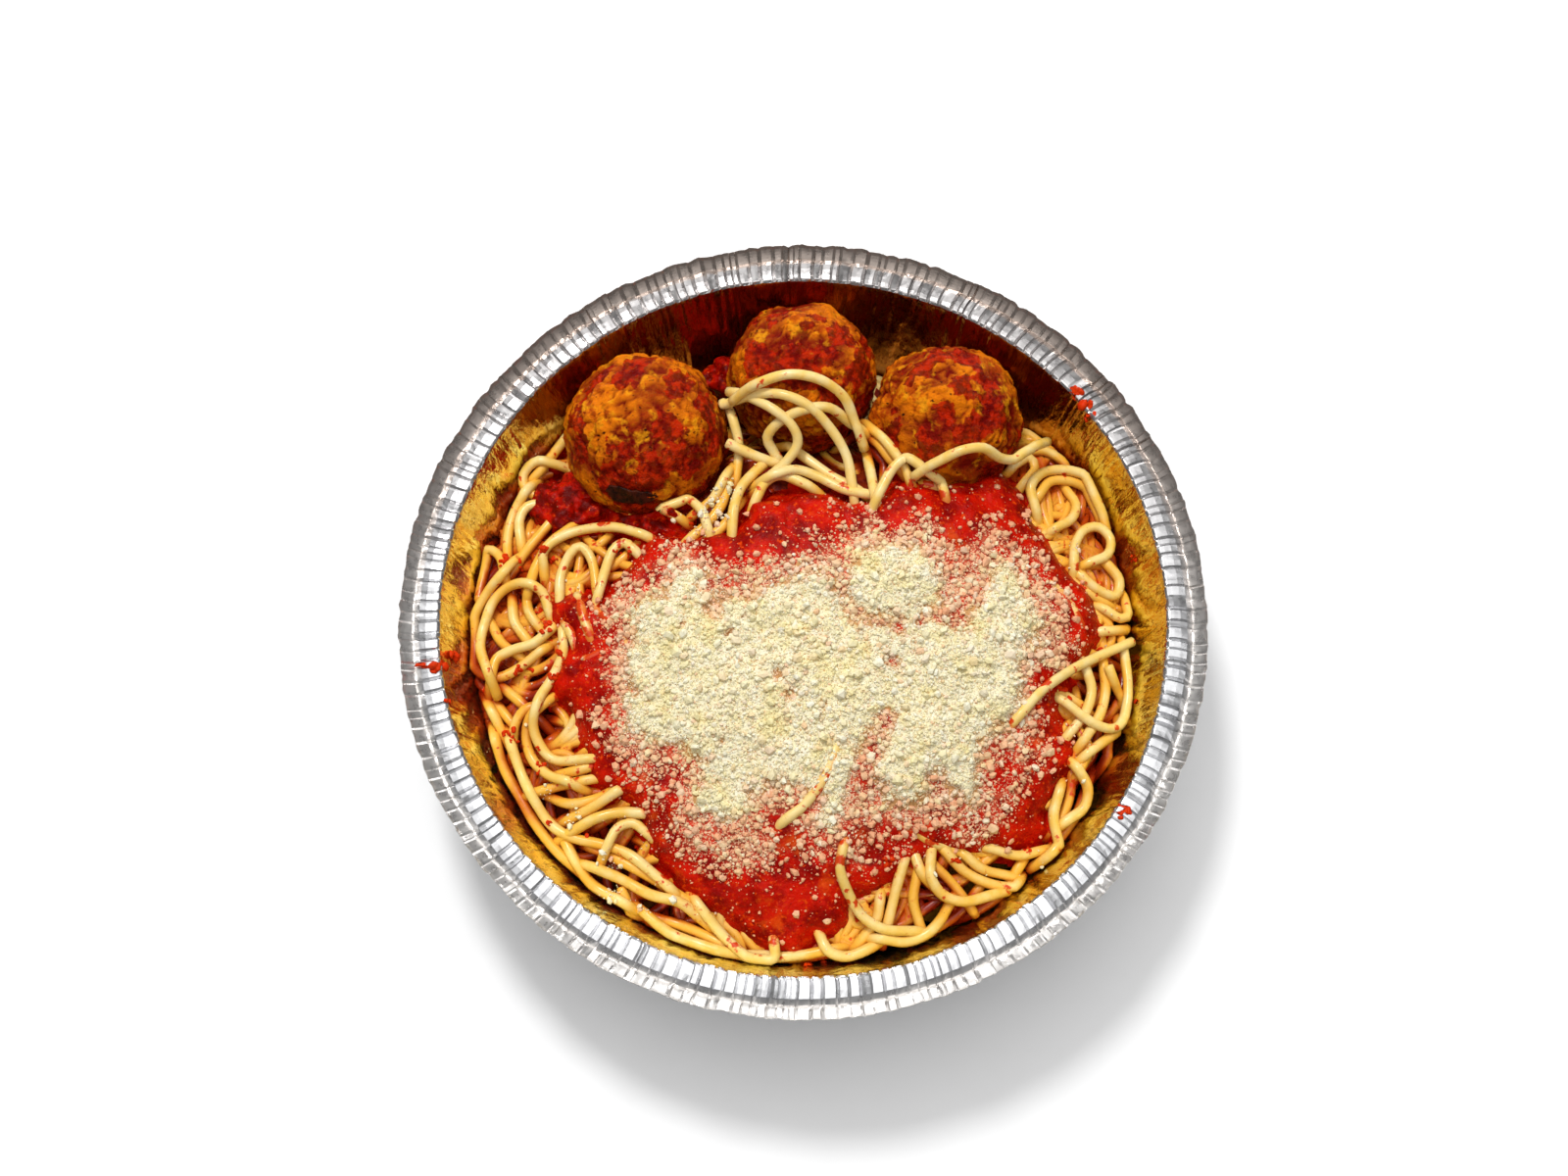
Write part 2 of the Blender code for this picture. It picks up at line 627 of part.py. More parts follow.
def keep_largest(mesh):
    """Drop loose scraps and sealed hollows, keeping the largest closed surface."""
    shape = bmesh.new()
    shape.from_mesh(mesh)
    unseen = set(shape.faces)
    groups = []
    while unseen:
        group = {unseen.pop()}
        front = list(group)
        while front:
            face = front.pop()
            for edge in face.edges:
                for other in edge.link_faces:
                    if other in unseen:
                        unseen.discard(other)
                        group.add(other)
                        front.append(other)
        groups.append(group)
    groups.sort(key=len)
    scraps = [face for group in groups[:-1] for face in group]
    bmesh.ops.delete(shape, geom=scraps, context="FACES")
    bmesh.ops.triangulate(shape, faces=shape.faces)
    shape.to_mesh(mesh)
    shape.free()


def gather(name, parent):
    """A new collection under another."""
    made = bpy.data.collections.new(name)
    parent.children.link(made)
    return made


def mark_cutters(collection):
    """Cutters are drawn as wires and are never rendered."""
    for cutter in collection.objects:
        cutter.hide_render = True
        cutter.display_type = "WIRE"


def make_heap(collection, pasta):
    """The heap: core and noodles in one solid, with pockets for what lies in it."""
    heap = new_object("spaghetti_heap", core_mesh(), collection, pasta)
    noodles = gather("noodles", bpy.context.scene.collection)
    for index, path in enumerate(noodle_paths()):
        noodle_object(path, index, noodles)
    combine(heap, "UNION", noodles)
    keep_largest(heap.data)
    cutters = gather("pocket_cutters", bpy.context.scene.collection)
    for name in MEATBALLS:
        new_object(f"{name}_pocket", meatball_mesh(name, GAP), cutters)
    for name in CLUMPS:
        new_object(f"{name}_pocket", clump_mesh(name, GAP), cutters)
    mark_cutters(cutters)
    combine(heap, "DIFFERENCE", cutters)
    keep_largest(heap.data)
    return heap


def cut_by_meatballs(piece):
    """Cut a piece back where the meatballs sit against it."""
    cutters = gather("meatball_cutters", bpy.context.scene.collection)
    for ball in MEATBALLS:
        new_object(f"{ball}_cutter", meatball_mesh(ball, GAP), cutters)
    mark_cutters(cutters)
    combine(piece, "DIFFERENCE", cutters)
    keep_largest(piece.data)


def make_clump(name, collection, sauce):
    """One spoonful of sauce against a meatball."""
    clump = new_object(name, clump_mesh(name), collection, sauce)
    cut_by_meatballs(clump)
    return clump


def make_sauce(collection, sauce):
    """The sauce with the largest crumbs of cheese fused on outside the cheese layer."""
    piece = new_object("tomato_sauce", sauce_mesh(), collection, sauce)
    crumbs = gather("crumbs", bpy.context.scene.collection)
    draw = random.Random(CRUMB_SEED)
    placed = []
    while len(placed) < CRUMBS:
        x, y = polar(draw.uniform(0, 360), draw.uniform(24 * MM, 60 * MM), CHEESE_CENTRE)
        in_fringe = cheese_reach(x, y) > 2.5 * MM and sauce_reach(x, y) < -3 * MM
        if in_fringe and all(math.hypot(x - a, y - b) > 4 * MM for a, b in placed):
            placed.append((x, y))
    for index, (x, y) in enumerate(placed):
        size = CRUMB_RADIUS * draw.uniform(0.75, 1.1)
        centre = Vector((x, y, sauce_top(x, y) + 0.3 * size))

        def place(bearing, ring, centre=centre, size=size):
            polar_angle = math.pi * ring / 4
            flat = polar(bearing + 17 * index, size * math.sin(polar_angle))
            return centre + Vector((*flat, 0.8 * size * math.cos(polar_angle)))

        new_object(f"crumb_{index}", skin("crumb", 5, 4, place), crumbs)
    combine(piece, "UNION", crumbs)
    cut_by_meatballs(piece)
    return piece


def make_cheese(collection, cheese):
    """The cheese, with its underside cut to the sauce's surface."""
    piece = new_object("grated_cheese", cheese_mesh(), collection, cheese)
    cutters = gather("sauce_cutter", bpy.context.scene.collection)
    raised = sauce_mesh()
    raised.transform(Matrix.Translation((0.0, 0.0, GAP)))
    new_object("raised_sauce", raised, cutters)
    mark_cutters(cutters)
    combine(piece, "DIFFERENCE", cutters)
    keep_largest(piece.data)
    return piece


def clear_scene():
    """Remove whatever the file held."""
    for piece in list(bpy.data.objects):
        bpy.data.objects.remove(piece)


def main():
    clear_scene()
    collection = gather("spaghetti_and_meatballs", bpy.context.scene.collection)
    foil = material("aluminium_foil", (0.78, 0.79, 0.80), 0.28, 1.0)
    pasta = material("cooked_spaghetti", (0.90, 0.68, 0.28), 0.38)
    meat = material("browned_meat", (0.42, 0.13, 0.03), 0.6)
    sauce = material("tomato_sauce", (0.48, 0.02, 0.01), 0.25)
    cheese = material("grated_parmesan", (0.90, 0.82, 0.55), 0.8)
    leaf = material("cooked_leaf", (0.07, 0.02, 0.015), 0.5)
    make_pan(collection, foil)
    make_heap(collection, pasta)
    for name in MEATBALLS:
        new_object(name, meatball_mesh(name), collection, meat)
    for name in CLUMPS:
        make_clump(name, collection, sauce)
    make_sauce(collection, sauce)
    make_cheese(collection, cheese)
    new_object("dark_leaf_fragment", leaf_mesh(), collection, leaf)


main()
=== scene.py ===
"""The looks of spaghetti and meatballs in a round foil pan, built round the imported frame.

Lengths are millimetres until a mesh is made. +Z is up and the near side of the pan is at -Y.
Whatever is placed by a pixel of the photo is put where that pixel's ray meets what carries it.
"""

import math

import bmesh
import bpy
import numpy as np
from mathutils import Matrix, Vector, noise


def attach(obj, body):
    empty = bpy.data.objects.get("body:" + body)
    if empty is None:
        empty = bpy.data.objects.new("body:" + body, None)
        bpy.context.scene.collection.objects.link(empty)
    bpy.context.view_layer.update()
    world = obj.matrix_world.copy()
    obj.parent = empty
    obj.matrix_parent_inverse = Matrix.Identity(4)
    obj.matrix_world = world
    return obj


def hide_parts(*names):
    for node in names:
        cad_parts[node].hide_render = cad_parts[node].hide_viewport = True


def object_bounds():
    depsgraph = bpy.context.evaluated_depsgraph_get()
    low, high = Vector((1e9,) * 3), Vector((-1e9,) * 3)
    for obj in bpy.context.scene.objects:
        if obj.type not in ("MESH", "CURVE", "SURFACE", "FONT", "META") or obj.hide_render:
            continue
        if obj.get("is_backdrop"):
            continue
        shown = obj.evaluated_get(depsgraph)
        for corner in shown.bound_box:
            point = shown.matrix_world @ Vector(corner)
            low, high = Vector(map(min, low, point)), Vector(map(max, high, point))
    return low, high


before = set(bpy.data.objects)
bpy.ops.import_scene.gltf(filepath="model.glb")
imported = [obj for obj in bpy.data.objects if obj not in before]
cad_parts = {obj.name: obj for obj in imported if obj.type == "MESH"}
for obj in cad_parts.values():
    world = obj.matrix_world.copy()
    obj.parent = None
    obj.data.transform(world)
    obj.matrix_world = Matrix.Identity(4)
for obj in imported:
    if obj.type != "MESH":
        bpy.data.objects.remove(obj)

CAD_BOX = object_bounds()
MM = 0.001
SEEDS = {"pan": 21, "heap": 7, "cheese": 5, "bits": 9, "grain": 3}

# Camera: it looks down at the pan, and a pixel is one of the photo's 1600 by 1200
PHOTO_SIZE = (1600, 1200)
CAMERA_ELEVATION = 72.8
CAMERA_DISTANCE = 480.0
CAMERA_PIVOT = np.array([0.0, 0.0, 42.0])
CAMERA_AIM = np.array([-4.5, 5.2, 42.0])
FOCAL_PIXELS = 2164.6
SENSOR_WIDTH = 36.0
PIXEL_SIZE = 0.22                   # of a pixel on the food
FIT_ROUNDS = 6                      # to find where a pixel's ray meets the heap

# Studio: each light's place in metres, size in metres and power in watts
LIGHTS_AIM = (0.0, 0.0, 0.04)
LIGHTS = {
    "overhead": ((0.0, 0.05, 1.25), 1.8, 12.6),
    "key": ((-0.22, 0.45, 1.0), 0.2, 6.6),
    "window": ((0.0, 1.5, 0.42), 1.1, 7.0),
}
SURROUND_STRENGTH = 0.2
FLOOR_HALF = 3000.0

# Foil pan, as in the part's source
LIP_RADIUS = 91.5
LIP_HEIGHT = 42.4
LIP_ROWS = 6
LIP_CRIMP = 0.45                    # strength of the crimps on the lip
FOLD_RADIUS = 88.7
FOLD_HEIGHT = 40.4
RIM_RADIUS = 82.7
RIM_HEIGHT = 42.0
WALL_LEAN = 0.29
WALL_ROWS = 11
CORNER_HEIGHT = 4.5
CORNER_RUN = 4.2
CORNER_SHARES = (0.35, 0.65, 0.85, 1.0)
FLOOR_RADII = (40.0, 0.5)
FOIL_THICKNESS = 0.2
FLANGE_ROWS = 11                    # rows of facets from the lip to the rim
FLANGE_ARC = 85.0                   # radius at which creases are measured round the pan
CRIMPS = 225
CRIMP_WIDTHS = (0.5, 1.5)
CRIMP_STRENGTHS = (0.35, 1.1)
CRIMP_SHOULDERS = (-0.4, 0.6)
CRIMP_DEPTH = 0.6
CRIMP_RUN = 0.45                    # how far the crimps reach in and out at the rim
PLEAT_RUN = 0.14                    # how far they reach down the wall, as pleats
LIP_CRINKLE = 0.34
WALL_CRINKLE = 0.30
# The flange from fold to rim: share of the way, rise above the fold, strength of the crimps
FLANGE_PROFILE = (
    (0.0, 0.0, 0.35), (0.07, 0.45, 0.8), (0.3, 1.15, 1.0), (0.55, 1.45, 1.0), (0.8, 1.62, 1.0),
    (0.96, 1.68, 1.0), (1.0, 1.6, 0.9),
)

# Heap, as in the part's source
CORE_PEAK = 38.0
CORE_FALL = 15.0
CORE_POWER = 2.4
CORE_REACH = 78.0
CORE_BORDER = 74.0
BACK_LEVEL = 17.0
BACK_START = 40.0
BACK_END = 58.0
BACK_SIDES = (44.0, 60.0)
RECESS_DEPTH = 9.0
RECESS_BEARING = -48.0
RECESS_SPREAD = 30.0
SIDE_SLOPE = 1.5

# Noodles
NOODLE_RADIUS = 1.22
NOODLE_WIDTHS = (0.95, 1.04)
NOODLE_STEP = 1.15                  # between a noodle's rings
NOODLE_SINK = 0.3
NOODLE_SAG = 0.035                  # of a noodle between its supports
NOODLE_CAPS = ((0.0, 0.02), (0.02, 0.72), (0.12, 0.93))  # inset and share of the width
TAIL_DROPS = np.array([0.35, 1.1, 2.2, 3.4, 4.6])
SUNK_RISE = 5.0                     # of the sauce above the heap where a sunk noodle shows
NOODLE_SIDES = 10

# Bed of noodles that no pixel places
BED_SIDES = 6
BED_DROP = 5.0                      # the bed starts this far below the heap's top
BED_NOODLES = 230
BED_LIMIT = -0.8                    # how far the bed may rise above the heap's top
BED_FLOOR = 4.0                     # how low the bed's ceiling may be
CLUMP_DROPS = {"sauce_clump_left": 3.0, "sauce_clump_back": 8.0}  # of the ceiling under them
POCKET_DROP = 2.5                   # under the sauce by the left meatball, where its shadow is painted
HIDDEN_DROP = 5.0                   # behind the meatballs and before them
DEEP_UNDER = -9.0                   # the sauce's reach where no noodle could be seen
DEEP_SHARE = 0.35                   # of a noodle there, from which it is left out
BED_STEPS = (26, 72)
BED_RING = 26.0                     # width of the ring that the bed's noodles start in
BED_HEADING = 75.0                  # degrees away from the ring's direction
BED_TURN = (0.03, 0.16)             # radians a step
BED_SWAY = (0.02, 0.10)
BED_PACE = (0.12, 0.3)
CORE_DROP = 1.5                     # of the core below the heap's top, under thick sauce
UNDER_SAUCE = -6.0                  # the sauce's reach where it is thick

# Height grid over the pan
GRID_STEP = 0.5
GRID_HALF = 166
CORE_STRIDE = 3                     # grid cells per cell of the core's mesh
WALL_GAP = 0.8                      # between the foil and what is heaped or poured
LATTICE_SIZE = 32

# Meatballs: centre and radius
MEATBALLS = {
    "meatball_left": ((-38.3, 44.6, 33.0), 18.9),
    "meatball_back": ((-2.0, 61.0, 33.0), 17.5),
    "meatball_right": ((32.6, 51.0, 33.0), 18.1),
}
MEATBALL_LUMPS = 0.08
MEATBALL_CUTS = 54
MINCE_LUMPS = 420                   # on each meatball
MINCE_BATCH = 2000                  # points that are measured at a time
MEATBALL_GROWTH = {"meatball_left": 1.0, "meatball_back": 0.8, "meatball_right": 0.5}
UNDERSIDE = np.array([0.42, -0.34, -0.84])  # where a meatball's sauced side faces
# Smears of sauce on the meatballs: pixel and reach in millimetres
SMEARS = {
    "meatball_left": (
        ((655, 370), 2.6), ((615, 382), 2.6), ((640, 384), 2.2), ((694, 390), 3.2),
        ((722, 415), 3.4), ((588, 430), 2.8), ((592, 456), 2.4), ((680, 442), 3.2),
        ((688, 466), 3.8), ((662, 484), 4.0), ((628, 494), 3.6), ((712, 470), 2.4),
        ((634, 462), 2.2), ((650, 512), 4.0), ((728, 450), 2.6), ((600, 400), 1.6),
    ),
    "meatball_back": (
        ((770, 362), 3.2), ((786, 368), 3.6), ((806, 374), 3.4), ((822, 384), 3.4),
        ((860, 345), 2.4), ((876, 377), 3.6), ((800, 320), 2.0), ((832, 324), 1.8),
        ((766, 330), 2.0), ((850, 402), 4.0), ((846, 362), 1.8), ((880, 350), 2.2),
    ),
    "meatball_right": (
        ((955, 365), 2.4), ((984, 362), 2.8), ((1004, 385), 2.6), ((984, 392), 2.0),
        ((912, 422), 2.2), ((990, 442), 3.4), ((1022, 430), 3.0), ((950, 462), 3.0),
        ((906, 445), 2.6), ((932, 377), 2.0), ((1014, 408), 1.8), ((968, 425), 1.6),
    ),
}

# Spoonfuls of sauce: centre and half sizes
CLUMPS = {
    "sauce_clump_left": ((-55.0, 29.0, 27.5), (11.0, 8.5, 5.0)),
    "sauce_clump_back": ((-19.5, 63.5, 22.0), (7.5, 6.5, 9.0)),
}
CLUMP_CUTS = 34

# Edge of the sauce, by the photo's pixels
SAUCE_OUTLINE = (
    (652, 560), (662, 545), (680, 541), (700, 546), (720, 541), (748, 538), (758, 524), (762, 508),
    (780, 504), (802, 502), (825, 495), (846, 498), (870, 507), (890, 507), (904, 500), (916, 487),
    (932, 484), (950, 485), (966, 487), (985, 484), (1003, 480), (1016, 477), (1030, 482),
    (1040, 495), (1048, 515), (1058, 528), (1070, 540), (1079, 560), (1091, 575), (1105, 590),
    (1116, 605), (1123, 620), (1129, 635), (1126, 650), (1112, 664), (1098, 676), (1084, 700),
    (1082, 725), (1087, 745), (1100, 752), (1101, 772), (1098, 790), (1085, 801), (1073, 815),
    (1070, 835), (1075, 848), (1060, 857), (1040, 865), (1010, 865), (985, 870), (962, 868),
    (945, 878), (926, 885), (914, 900), (898, 910), (880, 914), (868, 925), (868, 938),
    (856, 955), (845, 960), (832, 957), (815, 975), (790, 975), (775, 968), (760, 960),
    (745, 945), (735, 935), (720, 925), (705, 915), (690, 900), (680, 885), (665, 870),
    (655, 855), (650, 835), (640, 820), (625, 815), (612, 800), (600, 790), (600, 775),
    (592, 755), (587, 735), (580, 715), (562, 712), (557, 695), (568, 680), (577, 660),
    (578, 646), (562, 640), (553, 628), (560, 612), (575, 601), (595, 602), (607, 612),
    (620, 600), (626, 584), (640, 575),
)
# Sauce round the front of the left meatball, darkened there by painted shadow of the meatball
POCKET_OUTLINE = (
    (556, 488), (566, 470), (580, 452), (598, 470), (610, 500), (640, 515), (690, 512), (704, 524),
    (690, 540), (650, 548), (610, 540), (578, 536), (562, 520),
)
SAUCE_THICKNESS = 5.0
SAUCE_EDGE = 2.2
SAUCE_GAP = 0.35

# Edge of the thick cheese, by the photo's pixels
CHEESE_OUTLINE = (
    (640, 700), (640, 680), (645, 655), (648, 625), (662, 612), (676, 602), (690, 588), (706, 580),
    (716, 598), (735, 612), (758, 610), (778, 602), (800, 594), (822, 588), (842, 580), (852, 592),
    (856, 612), (866, 632), (884, 640), (902, 634), (884, 628), (870, 612), (864, 592), (870, 570),
    (884, 560), (910, 556), (934, 560), (950, 574), (960, 590), (958, 612), (948, 628), (962, 640),
    (984, 640), (998, 622), (1002, 600), (1012, 580), (1028, 572), (1040, 590), (1052, 612),
    (1064, 632), (1062, 650), (1046, 664), (1044, 690), (1042, 716), (1030, 740), (1006, 756),
    (1000, 776), (996, 800), (988, 816), (972, 812), (962, 792), (948, 788), (940, 808),
    (922, 820), (904, 812), (898, 788), (896, 764), (900, 744), (884, 748), (878, 770),
    (872, 796), (860, 822), (856, 846), (842, 850), (836, 836), (846, 812), (830, 806),
    (806, 800), (786, 802), (772, 814), (768, 832), (744, 838), (716, 832), (704, 816),
    (714, 798), (716, 778), (700, 766), (678, 760), (656, 756), (642, 742), (638, 720),
)
# Where the cheese is thin, and where there is hardly any: pixel and reach in millimetres
THIN_SPOTS = (
    ((795, 690), 2.2), ((806, 708), 2.8), ((746, 646), 1.8), ((728, 622), 3.2), ((760, 628), 1.6),
    ((912, 672), 2.4), ((905, 730), 3.2), ((890, 765), 3.0), ((918, 638), 2.6), ((940, 632), 1.8),
    ((695, 635), 1.6), ((975, 632), 2.6), ((1000, 612), 1.6), ((880, 795), 2.6), ((735, 755), 1.6),
)
BARE_SPOTS = (
    ((588, 650), 5.5), ((596, 700), 6.5), ((600, 748), 6.5), ((626, 806), 5.0),
    ((1064, 834), 8.0), ((1092, 772), 6.5), ((1040, 862), 6.0), ((1064, 690), 2.5),
)
# Mounds of cheese: centre and spread
CHEESE_MOUNDS = ((-10.6, -14.0, 26.0), (21.3, 9.8, 10.0), (40.0, -12.5, 18.0), (27.5, -36.0, 14.0))
CHEESE_COVER = 0.45                 # density from which the cheese hides the sauce
# Crumbs: name, 20 faces or 8, share on thick cheese, thin cheese and noodles, count and sizes
CHEESE_KINDS = (
    ("cheese_powder", False, 1.0, 1.0, 1.0, 22000, (0.15, 0.34)),
    ("cheese_crumbs", True, 1.0, 0.3, 0.0, 4000, (0.28, 0.65)),
    ("cheese_grains", True, 0.0, 1.0, 0.6, 3900, (0.24, 1.0)),
    ("cheese_lumps", True, 0.7, 0.4, 0.0, 760, (0.45, 1.25)),
)

# Bits of tomato on the noodles: pixel and radius in millimetres
TOMATO_BITS = (
    ((515, 575), 1.2), ((519, 571), 0.8), ((556, 562), 1.3), ((563, 568), 1.0), ((530, 685), 1.3),
    ((538, 681), 0.9), ((520, 748), 1.1), ((524, 758), 0.9), ((494, 704), 0.8), ((549, 622), 1.0),
    ((560, 637), 1.2), ((572, 668), 1.1), ((566, 690), 1.2), ((549, 765), 0.8), ((552, 782), 0.9),
    ((531, 575), 0.7), ((568, 535), 0.9), ((629, 562), 0.8), ((640, 560), 0.7), ((1060, 720), 0.9),
    ((1085, 700), 1.0), ((1090, 712), 0.8), ((707, 528), 0.9), ((1125, 660), 0.7), ((880, 925), 1.0),
    ((905, 880), 1.1), ((975, 878), 0.9), ((1050, 866), 0.8), ((600, 850), 0.7), ((560, 842), 0.6),
)
# Dried spots of sauce on the foil: pixel and radius in millimetres
FOIL_SPOTS = (
    ((448, 680), 1.2), ((444, 684), 0.7), ((423, 682), 0.8), ((462, 671), 1.2), ((458, 716), 0.6),
    ((1100, 402), 1.0), ((1105, 412), 1.2), ((1112, 426), 1.0), ((1096, 395), 0.7),
    ((1157, 571), 0.6), ((1160, 715), 0.6), ((1150, 826), 0.7), ((1145, 832), 0.6),
    ((825, 984), 0.9), ((840, 980), 0.8), ((808, 978), 0.7),
)
CRUMBS_PER_BIT = 6
DROPS_PER_SPOT = 4
BIT_SMEAR = 0.75                    # how bright they are, from 0 as the sauce to 1
# Where cheese lies loose on the noodles: pixel and reach in millimetres
LOOSE_CHEESE = (
    ((728, 520), 3.2), ((715, 538), 2.4), ((742, 500), 2.2), ((700, 540), 1.8), ((690, 548), 1.6),
    ((585, 836), 2.0), ((555, 806), 1.2), ((620, 877), 1.8), ((625, 912), 1.8), ((660, 925), 1.6),
    ((770, 470), 1.4), ((1100, 560), 1.4),
)

# Leaf fragment on the left meatball
LEAF_BEARING = -98.0
LEAF_ELEVATION = 23.0
LEAF_HALF_LENGTH = 5.8
LEAF_HALF_WIDTH = 2.3
LEAF_RINGS = 10
LEAF_COLUMNS = 48

# Colours: linear red, green and blue
# Pasta: golden, brown and deep are painted shade, for noodles that lie deeper in the pile
PASTA = {
    "pale": (0.80, 0.55, 0.15), "yellow": (0.78, 0.47, 0.07), "cloudy": (0.82, 0.64, 0.28),
    "golden": (0.80, 0.41, 0.045), "brown": (0.50, 0.07, 0.003), "deep": (0.24, 0.012, 0.001),
    "stained": (0.66, 0.13, 0.008), "sauce": (0.58, 0.045, 0.004), "speck": (0.12, 0.03, 0.01),
}
# Inside of the heap: dark and red are sauce and painted shade between the noodles
CORE = {"dark": (0.10, 0.003, 0.001), "red": (0.28, 0.025, 0.002), "golden": (0.42, 0.20, 0.02)}
SAUCE = {
    "bright": (0.56, 0.008, 0.001), "deep": (0.20, 0.001, 0.0005), "bit": (0.66, 0.05, 0.002),
    "orange": (0.68, 0.075, 0.004), "dark": (0.12, 0.001, 0.0005), "shaded": (0.11, 0.0015, 0.0004),
    "smear": (0.66, 0.04, 0.003), "soaked": (0.60, 0.17, 0.08), "pink_dust": (0.74, 0.36, 0.20),
    "pale_dust": (0.84, 0.70, 0.50),
}
# Cheese: the gap colour is painted shade between the grains
CHEESE = {
    "cream": (0.83, 0.79, 0.63), "straw": (0.80, 0.71, 0.41), "yellow": (0.80, 0.70, 0.35),
    "soaked_bed": (0.72, 0.28, 0.16), "soaked_crumb": (0.76, 0.37, 0.20), "gap": (0.46, 0.20, 0.04),
}
# Meat: the darkest colours are painted shade in the pits and in the cracks between lumps
MEAT = {
    "pit_shade": (0.19, 0.004, 0.001), "ridge": (0.76, 0.185, 0.002), "red": (0.36, 0.03, 0.001),
    "golden": (0.84, 0.32, 0.006), "crack_shade": (0.09, 0.002, 0.0005), "speck": (0.03, 0.004, 0.001),
    "dark_glaze": (0.15, 0.001, 0.0005), "glaze": (0.50, 0.016, 0.001),
}
LEAF = {"black": (0.012, 0.003, 0.002), "brown": (0.06, 0.010, 0.004)}
# Foil: the colours for the near side are painted light, and those for the back and the back of the lip
# painted shade and reflection
FOIL = {
    "light": (0.64, 0.64, 0.65), "light_near": (0.78, 0.78, 0.79), "dull": (0.54, 0.54, 0.55),
    "dull_near": (0.68, 0.68, 0.69), "lip_near": (0.80, 0.77, 0.74), "lip_behind": (0.42, 0.34, 0.29),
    # The oil colours carry painted reflection, lighter and yellower on the left; the brown one is a
    # painted reflection of the meatballs
    "behind": (0.40, 0.34, 0.30), "pale_oil_and_reflection_left": (1.0, 1.0, 0.50),
    "pale_oil_and_reflection_right": (0.80, 0.68, 0.17), "deep_oil_and_reflection_left": (1.0, 0.90, 0.34),
    "deep_oil_and_reflection_right": (0.68, 0.54, 0.09), "reflected_brown": (0.42, 0.13, 0.04),
    # The wrinkle colour is painted shade in the creases of the wall
    "wrinkle_shade": (0.16, 0.07, 0.01),
}
FLOOR = {"grey": (0.90, 0.90, 0.90), "white": (0.93, 0.93, 0.93)}

